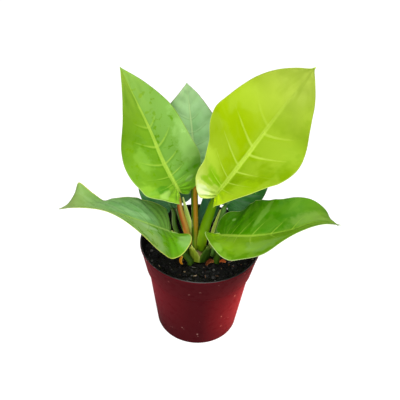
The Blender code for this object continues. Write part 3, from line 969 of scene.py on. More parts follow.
@dataclass
class Leaf:
    """A stalked leaf. Angles are in degrees, the rest in metres. Pairs are for the left and the right half.

    midrib: points from the stalk's end to the tip. twist: turn of the blade about the midrib there.
    rise: how far each half stands up from base to tip. wave: lift of the margin at even places.
    swells: finer lifts of the margin, by place along the outline, width and height. lobe: extra rise of
    the lobes. flare: how much each half widens towards the tip. quilt, folds: how far the panels between
    the side veins puff up, in the body and in the lobes. foot, stalk: where the stalk stands and what it
    passes. radii: of the stalk, from its foot up. seat: how far it ends below and behind the blade's base.
    light: the direction that the blade turns its face to. rows: shares out from the midrib. neck: the
    stalk's straight end. joint: its clearance there, and how far its tip reaches along and below the blade.
    """

    name: str
    midrib: Points
    half_width: Pair
    rise: tuple[Numbers, Numbers]
    foot: Pair
    stalk: Points
    radii: Numbers
    finish: LeafFinish
    stalk_finish: StalkFinish
    twist: Numbers = (0, 0)
    wave: tuple[Numbers, Numbers] = ((0, 0), (0, 0))
    swells: tuple[Points, Points] = ((), ())
    lobe: Pair = (0, 0)
    flare: Pair = (0, 0)
    quilt: float = 0.0011
    folds: Pair = (0.0008, 0.0008)
    seat: Pair = (0.0006, 0.0006)
    on_crown: bool = False
    light: Triple = (0.0, -0.6, 0.8)
    columns: int = 112
    rows: Numbers = (0, .012, .026, .045, .07, .11, .16, .22, .29, .36, .43, .50, .57, .64, .71,
                     .78, .84, .89, .93, .96, .985, 1)
    blade_depth: float = 0.0006
    rim_depth: float = 0.00035
    keel_depth: float = 0.0030
    keel_half_width: float = 0.0026
    neck: float = 0.006
    joint: Triple = (0.0009, 0.005, 0.0012)

    def __post_init__(self) -> None:
        """Read the midrib once."""
        self.curve = spline(self.midrib, np.linspace(0, 1, 161))
        run = measure(self.curve)
        self.length = float(run[-1])
        self.share = run / run[-1]
        self.tangent = unit(np.gradient(self.curve, self.share, axis=0))

    def read(self, share: np.ndarray) -> tuple[np.ndarray, ...]:
        """Read the midrib.

        Args:
            share: shares of its length, below 0 where it is drawn out backwards.

        Returns:
            Points, and the directions along, sideways and out of the upper face.
        """
        inside = np.clip(share, 0.0, 1.0)
        along = unit(between(inside, self.share, self.tangent))
        face = facing(along, self.light)
        behind = np.minimum(share, 0.0)[:, None] * self.length * along
        return between(inside, self.share, self.curve) + behind, along, np.cross(along, face), face

    def half(self, half: Side, share: np.ndarray, across: np.ndarray, edge: np.ndarray,
             lift: np.ndarray) -> np.ndarray:
        """Bend one half of the blade.

        Args:
            half: which half.
            share: share of the midrib's length.
            across: metres out from the midrib.
            edge: 0 at the midrib, 1 at the margin.
            lift: metres that the surface stands up there.

        Returns:
            The points.
        """
        point, _, side, face = self.read(share)
        turn = np.radians(spline(self.twist, share))[:, None]
        side, face = side * np.cos(turn) + face * np.sin(turn), face * np.cos(turn) - side * np.sin(turn)
        lobe = self.lobe[half.value] * np.clip((LOBE_START - share) / LOBE_REACH, 0, 1) ** 2
        rise = np.radians(spline(self.rise[half.value], share) + lobe)
        wave = spline(self.wave[half.value], share) * edge**2
        out = (across * np.cos(rise) - lift * np.sin(rise))[:, None] * side * (1 if half is Side.RIGHT else -1)
        return point + out + (across * np.sin(rise) + wave + lift * np.cos(rise))[:, None] * face

    def lift(self, column: np.ndarray, edge: np.ndarray, left: np.ndarray) -> np.ndarray:
        """How far the surface stands up: panels between the side veins, and swells of the margin.

        Args:
            column: share along the outline.
            edge: 0 at the midrib, 1 at the margin.
            left: whether it is in the left half.

        Returns:
            The metres for each half.
        """
        finish = self.finish
        lean = np.where(left, *finish.lean) + finish.curl * edge
        phase = (column - lean * edge - VEIN_ANCHOR) / VEIN_PITCH + np.where(left, 0, finish.stagger)
        puff = np.abs(np.sin(np.pi * phase)) ** 1.5 * np.clip(4 * edge * (1 - edge), 0, 1) ** 0.8
        puff *= 1 - smoothstep(column, 0.80, 0.95)
        body = smoothstep(column, 0.15, 0.35)
        lobes = smoothstep(column, 0.02, 0.10) * (1 - body)
        puff *= self.quilt * body + np.where(left, *self.folds) * lobes
        return np.stack([puff + edge**2 * sum(height * np.exp(-((column - place) / width) ** 2)
                                              for place, width, height in swells) for swells in self.swells])

    def build(self) -> None:
        """Make the blade and the stalk."""
        self.build_blade()
        self.build_stalk()

    def build_blade(self) -> None:
        """Bend a grid into the blade."""
        node = "leaf_" + self.name
        rows = len(self.rows) - 1
        obj, column, row = grid("blade_" + self.name, self.columns, 2 * rows)
        signed = (row - 0.5) * 2 * rows
        edge = np.interp(np.abs(signed), np.arange(rows + 1), self.rows)
        rim, spread, vein = spline(OUTLINE, column).T
        share = vein + (rim - vein) * edge**VEIN_SWEEP
        widths = [spread * edge * half * (1 + flare * (rim - FLARE_CENTRE))
                  for half, flare in zip(self.half_width, self.flare)]
        lifts = self.lift(column, edge, signed > 0)
        halves = [self.half(half, share, width, edge, lift) for half, width, lift in zip(Side, widths, lifts)]
        across = np.where(signed > 0, -widths[0], widths[1])
        bend(obj, np.where((signed > 0)[:, None], *halves), blade=(column, 0.5 - 0.5 * edge * np.sign(signed)),
             rib=(share, 0.5 + across / (2 * RIB_CHART_REACH)))
        write_numbers(obj, "depth", self.depth(share, across, edge))
        weld(obj)
        depth = np.zeros(len(obj.data.vertices))
        obj.data.attributes["depth"].data.foreach_get("value", depth)
        obj.data.attributes.remove(obj.data.attributes["depth"])
        dress(obj, self.finish.upper(node), self.finish.lower(node))
        thicken(obj, depth)
        settle(obj, node, 60)

    def depth(self, share: np.ndarray, across: np.ndarray, edge: np.ndarray) -> np.ndarray:
        """Thickness of the blade: thin at the margin, with a keel under the midrib.

        Args:
            share: share of the midrib's length.
            across: metres out from the midrib.
            edge: 0 at the midrib, 1 at the margin.

        Returns:
            The thickness.
        """
        inside = np.clip(share, 0, 1)
        ridge = (self.keel_depth - self.blade_depth) * (1 - inside) ** 1.5 * smoothstep(share, -0.01, 0.02)
        width = self.keel_half_width * (1 - 0.6 * inside)
        lamina = self.blade_depth + (self.rim_depth - self.blade_depth) * edge**4
        return lamina + ridge * smoothstep(1 - np.abs(across) / width, 0, 1)

    def build_stalk(self) -> None:
        """Lead the stalk from its foot to under the blade's base."""
        point, along, side, face = (part[0] for part in self.read(np.zeros(1)))
        turn = math.radians(self.twist[0])
        under = math.sin(turn) * side - math.cos(turn) * face
        clearance, reach, below = self.joint
        end = point + under * (self.radii[-1] + self.seat[0] + clearance) - along * self.seat[1]
        neck = end - unit(along + unit(end - np.array(self.stalk[-1]))) * self.neck
        start = CROWN_TOP + GAP if self.on_crown else SOIL_TOP - FOOT_DEPTH
        steps = np.linspace(0, 1, 60)
        line = spline([(*self.foot, max(start, SOIL_TOP) + 0.003), *self.stalk, neck, end], steps)
        base = np.linspace((*self.foot, start), line[0], 8)[:-1]
        tail = np.linspace(end, point + along * reach + under * below, 9)[1:]
        radii = [np.full(len(base), self.radii[0]), spline(self.radii, steps),
                 self.radii[-1] * np.linspace(1, 0.45, 9)[1:]]
        self.roll(np.concatenate([base, line, tail]), np.concatenate(radii))

    def roll(self, line: np.ndarray, radii: np.ndarray) -> None:
        """Roll a grid round a line into the stalk, with rounded ends and a shallow channel.

        Args:
            line: points along it.
            radii: its radius at them.
        """
        node = "stalk_" + self.name
        finish = self.stalk_finish
        obj, column, row = grid("petiole_" + self.name, 96, 28)
        run = measure(line)
        place = np.clip(column * run[-1], 0, run[-1])
        along = unit(between(place, run, unit(np.gradient(line, run, axis=0))))
        front = facing(along, (0.0, -1.0, 0.15))
        angle = 2 * np.pi * row
        radius = np.interp(place, run, radii)
        close = np.clip(np.minimum(place, run[-1] - place) / (1.2 * radius), 0, 1)
        channel = finish.channel * np.exp(-((np.angle(np.exp(1j * angle)) - finish.channel_turn) / 0.55) ** 2)
        radius = radius * np.sqrt(1 - (1 - close) ** 2) * (1 - channel)
        out = np.cos(angle)[:, None] * front + np.sin(angle)[:, None] * np.cross(front, along)
        bend(obj, between(place, run, line) + radius[:, None] * out, skin=(column, row))
        weld(obj, 4e-5, closed=True)
        dress(obj, finish.material(node))
        settle(obj, node, 60)


@dataclass
class Bract:
    """A pointed bract that wraps round what it clasps, or a dried scrap.

    wrap: the radius that it wraps round. outward: the direction that its back faces.
    """

    name: str
    spine: Points
    widths: Numbers
    wrap: float
    outward: Triple
    finish: PaperFinish
    crinkle: float = 0.0002
    depth: float = 0.0006

    def build(self) -> None:
        """Bend a grid into the bract."""
        obj, column, row = grid(self.name + "_leafy", 36, 14)
        ahead = unit(np.gradient(spline(self.spine, np.linspace(0, 1, 81)), axis=0))
        along = ahead[np.rint(column * 80).astype(int)]
        face = facing(along, self.outward)
        angle = np.maximum(spline(self.widths, column), 0.0003) / (2 * self.wrap) * (2 * row - 1)
        reach = self.wrap + self.crinkle * np.sin(np.pi * 7 * row + 3 * column)
        sideways = (reach * np.sin(angle))[:, None] * np.cross(along, face)
        inwards = (self.wrap - reach * np.cos(angle))[:, None] * face
        bend(obj, spline(self.spine, column) - sideways - inwards, skin=(column, row))
        weld(obj)
        dress(obj, self.finish.material(self.name))
        thicken(obj, self.depth)
        settle(obj, self.name, 50)


@dataclass
class Pot:
    """The turned pot: padded floor, tapered wall, collar and rolled lip. sharp: degrees of a rounded edge."""

    segments: int = 96
    rounding: float = 0.0007
    sharp: float = 28.0
    drill_depth: float = 0.007
    drill_height: float = 0.0045
    finish: PotFinish = PotFinish()

    def profile(self) -> list[Pair]:
        """Draw the pot's half section.

        Returns:
            Radius and height of each ring, from the inner floor over the lip to the underside.
        """
        rise, floor, lip, top = DRAIN_RING_RISE, WALL + 0.0002, RIM_RADIUS, POT_HEIGHT
        return [
            (PAD_RADIUS * 0.5, floor), (PAD_RADIUS - 0.001, floor), (DRAIN_RING_INNER, rise + floor),
            (DRAIN_RING_OUTER, rise + floor), (DRAIN_RING_OUTER + 0.0035, floor), (FOOT_RADIUS - 0.003, floor),
            (FOOT_RADIUS - WALL, floor + 0.0014), (SHOULDER_RADIUS - WALL, SHOULDER_HEIGHT - 0.001),
            (COLLAR_RADIUS - WALL, SHOULDER_HEIGHT + 0.0015), (lip - 0.0024, top - 0.0035),
            (lip - 0.0021, top - 0.0010), (lip - 0.0017, top - 0.0002),
            (lip - 0.0010, top), (lip - 0.0004, top - 0.0003), (lip, top - 0.0010), (lip, top - 0.0028),
            (lip - 0.0008, top - 0.0038), (COLLAR_RADIUS, SHOULDER_HEIGHT + 0.0012),
            (COLLAR_RADIUS - 0.0006, SHOULDER_HEIGHT), (SHOULDER_RADIUS, SHOULDER_HEIGHT - 0.0008),
            (FOOT_RADIUS, 0.0022), (FOOT_RADIUS - 0.0006, 0.0006), (FOOT_RADIUS - 0.002, 0),
            (DRAIN_RING_OUTER + 0.0035, 0), (DRAIN_RING_OUTER, rise), (DRAIN_RING_INNER, rise), (PAD_RADIUS, 0),
            (PAD_RADIUS * 0.5, 0)]

    def build(self) -> None:
        """Extrude a ring along the profile, round its edges and cut the drain holes."""
        (radius, height), *rings = self.profile()
        pick()
        bpy.ops.mesh.primitive_circle_add(vertices=self.segments, radius=radius, fill_type="NGON",
                                          location=(0, 0, height))
        obj = added("nursery_pot")
        bpy.ops.object.transform_apply(location=True)
        bpy.ops.object.mode_set(mode="EDIT")
        bpy.ops.mesh.select_all(action="SELECT")
        bpy.ops.mesh.select_mode(type="EDGE")
        bpy.ops.mesh.region_to_loop()
        for next_radius, next_height in rings:
            bpy.ops.mesh.extrude_edges_move(TRANSFORM_OT_translate={"value": (0, 0, next_height - height)})
            ratio = next_radius / radius
            bpy.ops.transform.resize(value=(ratio, ratio, 1), center_override=(0, 0, 0))
            radius, height = next_radius, next_height
        bpy.ops.mesh.edge_face_add()
        bpy.ops.mesh.select_all(action="SELECT")
        bpy.ops.mesh.normals_make_consistent(inside=False)
        bpy.ops.object.mode_set(mode="OBJECT")
        bevel = obj.modifiers.new("Rounded", "BEVEL")
        bevel.width = self.rounding
        bevel.segments = 2
        bevel.limit_method = "ANGLE"
        bevel.angle_limit = math.radians(self.sharp)
        apply_modifiers(obj)
        self.drill(obj)
        dress(obj, self.finish.outer(), self.finish.inner())
        self.paint(obj)
        settle(obj, "pot", 40)

    def drill(self, obj: Object) -> None:
        """Cut the drain holes in the raised ring of the floor.

        Args:
            obj: the pot.
        """
        for k in range(DRAIN_HOLES):
            pick()
            angle = 2 * math.pi * (k + 0.5) / DRAIN_HOLES
            spot = (DRAIN_CIRCLE * math.cos(angle), DRAIN_CIRCLE * math.sin(angle), self.drill_height)
            bpy.ops.mesh.primitive_cylinder_add(vertices=28, radius=DRAIN_HOLE_RADIUS, depth=self.drill_depth,
                                                location=spot)
            hole = obj.modifiers.new("Hole", "BOOLEAN")
            hole.object = bpy.context.object
            hole.operation = "DIFFERENCE"
            hole.solver = "EXACT"
            cutter = hole.object
            apply_modifiers(obj)
            bpy.data.objects.remove(cutter)

    def paint(self, obj: Object) -> None:
        """Give the inside the second material.

        Args:
            obj: the pot.
        """
        for face in obj.data.polygons:
            centre, normal = face.center, face.normal
            radius = math.hypot(centre.x, centre.y)
            wall = centre.x * normal.x + centre.y * normal.y < 0 and radius > FOOT_RADIUS - 0.004
            floor = normal.z > 0.5 and centre.z < POT_HEIGHT - 0.01
            lip = centre.z > POT_HEIGHT - 0.0006 and radius < RIM_RADIUS - 0.0002
            face.material_index = int((wall or floor) and centre.z < POT_HEIGHT or lip)


@dataclass
class Soil:
    """The crumbled surface of the soil and the loose crumbs on it.

    top: share of the rows above the skirt. skirt: how deep it goes, and by what share it narrows.
    clods, lumps: how many a metre. calm: from where to where round the crown the surface grows rougher.
    """

    around: int = 220
    rings: int = 70
    top: float = 0.93
    skirt: Pair = (0.016, 0.09)
    clods: float = 190.0
    lumps: float = 95.0
    calm: Pair = (0.012, 0.034)
    crumbs: int = 900
    seed: int = 11
    finish: SoilFinish = SoilFinish()

    def edge_radius(self) -> float:
        """Radius at which the soil meets the collar's inner wall."""
        slope = (RIM_RADIUS - 0.0006 - COLLAR_RADIUS) / (POT_HEIGHT - SHOULDER_HEIGHT)
        return COLLAR_RADIUS + slope * (SOIL_TOP - SHOULDER_HEIGHT) - WALL - 0.0002

    def height(self, x: float, y: float) -> float:
        """Measure the surface at a place.

        Args:
            x: metres to the right.
            y: metres to the back.

        Returns:
            Its height.
        """
        spot = Vector((x, y, 0.0))
        wide = noise.fractal(spot * 38.0, 1.0, 2.0, 3)
        clods, lumps = (0.5 - min(noise.voronoi(spot * scale)[0][0], 1.0) for scale in (self.clods, self.lumps))
        small = noise.fractal(spot * 420.0, 0.9, 2.1, 2)
        calm = smoothstep(math.hypot(x - CROWN_CENTRE[0], y - CROWN_CENTRE[1]), *self.calm)
        return SOIL_TOP - 0.0006 + float(calm) * (0.0016 * wide + 0.0034 * lumps) + 0.0024 * clods + 0.0008 * small

    def tone(self, spot: Vector) -> float:
        """Read the tone of the surface, where some clods are painted lighter towards their tops as a highlight.

        Args:
            spot: a place on it.

        Returns:
            The tone, from 0 for dark peat up to 1 for pale grains.
        """
        away, centres = noise.voronoi(Vector((spot.x, spot.y, 0.0)) * self.clods)
        chance = 0.5 + 0.5 * noise.cell(centres[0] * 7.3 + Vector((0.5, 0.5, 0.5)))
        return max(0.0, 1.0 - 0.9 * away[0]) * (0.92 if chance > 0.78 else 0.5 * chance)

    def build(self) -> None:
        """Bend a grid into the round surface, with a skirt down the wall, and strew crumbs on it."""
        obj, column, row = grid("soil_surface", self.around, self.rings)
        radius = np.minimum(row / self.top, 1.0) * self.edge_radius()
        angle = 2 * np.pi * column
        x, y = radius * np.cos(angle), radius * np.sin(angle)
        z = np.array([self.height(*spot) for spot in zip(x.tolist(), y.tolist())])
        skirt = np.clip((row - self.top) / (1 - self.top), 0, 1)
        shrink = 1 - skirt * self.skirt[1]
        z = z * (1 - skirt) + (SOIL_TOP - self.skirt[0]) * skirt
        bend(obj, np.stack([x * shrink, y * shrink, z], 1))
        weld(obj)
        # Tone of the surface: a painted highlight on the tops of some clods
        write_numbers(obj, "tone", [self.tone(vert.co) for vert in obj.data.vertices])
        material = self.finish.material()
        dress(obj, material)
        settle(obj, "soil", 180)
        crumbs = self.strew(self.balls())
        dress(crumbs, material)
        settle(crumbs, "soil", 40, replaces=False)

    @staticmethod
    def balls() -> list[Lump]:
        """Dent some balls.

        Returns:
            Points and faces of four coarse ones and two finer ones.
        """
        made = []
        for k in range(6):
            pick()
            bpy.ops.mesh.primitive_ico_sphere_add(subdivisions=1 if k < 4 else 2, radius=1.0)
            lump = bpy.context.object
            for vert in lump.data.vertices:
                vert.co *= 1 + 0.35 * noise.noise(vert.co * 1.7 + Vector((k * 5.1, 0, 0)))
            made.append((np.array([vert.co for vert in lump.data.vertices]),
                         [tuple(face.vertices) for face in lump.data.polygons]))
            bpy.data.objects.remove(lump)
        return made

    def strew(self, balls: list[Lump]) -> Object:
        """Copy crumbs, flakes and fibres all over the surface.

        Args:
            balls: points and faces of the shapes to copy.

        Returns:
            All of them, as one object.
        """
        random = np.random.default_rng(self.seed)
        verts, faces, tones = [], [], []
        for k in range(self.crumbs):
            points, sides = balls[int(random.integers(4)) if k % 9 else int(random.integers(4, 6))]
            reach = self.edge_radius() * math.sqrt(random.random()) * 0.985
            turn = random.random() * 2 * math.pi
            x, y = reach * math.cos(turn), reach * math.sin(turn)
            size = 0.0005 + 0.0013 * random.random() ** 2.5 if k % 9 else 0.0012 + 0.0014 * random.random()
            tone = 0.96 * random.random()
            shape = 0.7 + 0.6 * random.random(3)
            if k % 12 == 5:
                shape = np.array([3.4, 0.5, 0.4]) * (0.7 + 0.6 * random.random(3))
                tone = 0.93 + 0.07 * random.random()
                size = 0.0006 + 0.0006 * random.random()
            spin = np.array(Matrix.Rotation(random.random() * 6.28, 3, Vector(random.normal(size=3))))
            faces += [tuple(len(tones) + i for i in side) for side in sides]
            verts.append(points * (size * shape) @ spin.T + (x, y, self.height(x, y) + size * 0.35))
            tones += [float(tone)] * len(points)
        mesh = bpy.data.meshes.new("soil_crumbs")
        mesh.from_pydata(np.concatenate(verts).tolist(), [], faces)
        crumbs = bpy.data.objects.new("soil_crumbs", mesh)
        bpy.context.collection.objects.link(crumbs)
        write_numbers(crumbs, "tone", tones)
        return crumbs


LEFT, RIGHT = Side

# LIME: the near-white patch on the left lobe (#F2FACE) is a painted highlight, and the pale tip colour is partly the
# leaf's own and partly painted sheen
LIME = LeafFinish(
    left="#95B100", right="#7B9B04", lobes=("#E8F68C", "#C0DE04"), tip="#CEE062", band="#809E00", shade="#88A800",
    bloom="#A0BA32", vein="#B8CF50", margin="#BED464", margin_tip="#96A628", under="#BED850", rib_width=0.0052,
    rib_end=0.78, vein_strength=0.7, vein_end=0.75, vein_reach=0.95, lean=(-0.005, -0.035), curl=0.035,
    stagger=0.33, band_amount=(0.2, 0.6), shade_amount=0.25, wax_size=0.03, streak_and_sheen_amount=0.1,
    lobe_span=(0.20, 0.46), lobe_fold_shade=0.6, roughness=0.42, gloss=0.07, seed=0.31,
    patches=(Patch(LEFT, .43, .70, .05, .45, "#BEDC50", .35), Patch(LEFT, .385, .36, .040, .44, "#80B400", .9),
             Patch(LEFT, .335, .60, .024, .30, "#84B600", .8), Patch(LEFT, .25, .72, .06, .40, "#F2FACE", .8),
             Patch(RIGHT, .60, .95, .14, .34, "#709600", .65), Patch(RIGHT, .42, .70, .07, .40, "#B0D814", .2)))
# FRESH: the pale patch at the right margin (#B0DC82) is partly pale bloom and partly painted light where the margin
# turns from the lamps; the small pale patch at .35 (#A6D274) is a painted highlight
FRESH = LeafFinish(
    left="#699700", right="#60920A", lobes=("#98C832", "#70AC0A"), tip="#96B636", band="#689600", shade="#4E8400",
    bloom="#80AC4F", vein="#9CBE3E", margin="#BED882", margin_tip="#6E8228", under="#AAC878", rib_width=0.0034,
    vein_strength=0.62, vein_end=0.79, band_amount=(0.5, 0.0), shade_amount=0.4, wax=(0.12, 0.55), wax_size=0.0060,
    wax_level=0.375, wax_edge=0.055, streak_and_sheen_amount=0.12, lobe_fold_shade=0.6, lobe_span=(0.24, 0.48), lobe_clear=0.8,
    seed=0.12,
    patches=(Patch(RIGHT, .52, .96, .13, .44, "#B0DC82", .6), Patch(RIGHT, .42, .55, .050, .60, "#509400", .8),
             Patch(RIGHT, .35, .55, .03, .22, "#A6D274", .6), Patch(LEFT, .40, .55, .028, .38, "#488800", .9),
             Patch(LEFT, .36, .72, .028, .30, "#B4DA6E", .6), Patch(LEFT, .42, .92, .05, .30, "#A0CE3C", .4),
             Patch(LEFT, .56, .50, .05, .22, "#96C446", .35)))
GLAUCOUS = LeafFinish(
    left="#AAD593", right="#9CCD8A", lobes=("#7CAA68", "#7CAA68"), tip="#BEE3A2", band="#9CCA86", shade="#8EBE78",
    bloom="#B8DEA6", vein="#C4E2A0", margin="#809246", margin_tip="#705C28", under="#96B482", rib_width=0.0018,
    vein_width=0.0045, vein_strength=0.45, vein_reach=0.95, shade_amount=0.3, streak_and_sheen_amount=0.1, margin_width=0.035,
    roughness=0.45, gloss=0.2, seed=0.57)
ARCHED_LEFT = LeafFinish(
    left="#86AF48", right="#649752", lobes=("#5C9408", "#639138"), tip="#94AC54", band="#669632", shade="#487822",
    bloom="#98BC7C", vein="#90B854", margin="#CED660", margin_tip="#C4BA3C", under="#96B86E", rib_width=0.0016,
    vein_width=0.0045, vein_strength=0.35, lean=(0.0, 0.10), band_amount=(0.3, 0.5), shade_amount=0.14,
    wax=(0.45, 0.15), wax_size=0.012, wax_edge=0.10, margin_width=0.035, lobe_span=(0.42, 0.50), lobe_clear=0.95,
    crease=0.2, roughness=0.32, gloss=0.10, seed=0.83,
    patches=(Patch(LEFT, .425, .46, .085, .56, "#589600", .9, -.2), Patch(LEFT, .27, .82, .07, .30, "#8CB664", .6),
             Patch(LEFT, .54, .17, .05, .10, "#B0CE96", .5), Patch(RIGHT, .57, .22, .10, .10, "#8CB878", .5)))
# ARCHED_RIGHT: the narrow slanted pale patch on the left half (#82B046) is a painted highlight along a side vein
ARCHED_RIGHT = LeafFinish(
    left="#468600", right="#76A212", lobes=("#468200", "#82B206"), tip="#7C9E36", band="#407A00", shade="#366E00",
    bloom="#7CA62C", vein="#98BC3A", margin="#C4D88C", margin_tip="#788E3C", under="#8CB25A", rib_width=0.0028,
    rib_end=0.72, vein_width=0.0055, vein_reach=0.58, vein_strength=0.55, lean=(0.10, -0.05), shade_amount=0.4,
    wax=(0.16, 0.4), wax_size=0.012, streak_and_sheen_amount=0.14, crease=0.12, roughness=0.34, gloss=0.06, seed=0.44,
    patches=(Patch(LEFT, .562, .55, .016, .40, "#82B046", .5, .07), Patch(LEFT, .36, .62, .016, .06, "#A0C86E", .5),
             Patch(LEFT, .77, .30, .10, .30, "#8CAC50", .4), Patch(RIGHT, .37, .80, .04, .20, "#96C446", .5),
             Patch(RIGHT, .55, .60, .06, .30, "#88B05A", .4)))
DEEP = LeafFinish(
    left="#367838", right="#387A2E", lobes=("#306C2C", "#306C2C"), tip="#367838", band="#30702E", shade="#1C5424",
    bloom="#548458", vein="#5A8A4A", margin="#5E8C46", under="#5A7850", rib_width=0.0013, vein_width=0.0045,
    vein_strength=0.3, shade_amount=0.5, wax=(0.35, 0.35), roughness=0.34, gloss=0.25, seed=0.25)
# SHADED: a darker, bluer copy of DEEP for leaf h at the back; its darkness is painted shade
SHADED = replace(
    DEEP, left="#2A603E", right="#2E6236", shade="#184428", bloom="#4E7856")

RED_STALK = StalkFinish(
    foot="#9C822C", top="#A64C20", side="#968A30", side_turn=0.76, side_reach=(0.12, 0.32), change=(0.15, 0.5),
    side_amount=0.7)
LIME_STALK = StalkFinish(
    foot="#304A00", top="#588402", side="#648C02", side_turn=0.12, change=(0.06, 0.32), side_amount=0.5, gloss=0.1)
TAWNY_STALK = StalkFinish(
    foot="#5C7208", top="#926608", side="#345A0A", side_turn=0.45, change=(0.05, 0.4), side_amount=0.95,
    side_reach=(0.36, 0.43), gloss=0.1)
GREEN_STALK = StalkFinish(
    foot="#1A3608", top="#30540E", side="#486C18", side_turn=0.15, change=(0.1, 0.8))
# A lighter copy of GREEN_STALK for leaf g's stalk, which stands in shade: painted light
PAINTED_LIGHT_STALK = StalkFinish(
    foot="#46761E", top="#4A7A28", side="#68963C", side_turn=0.15, change=(0.1, 0.8))


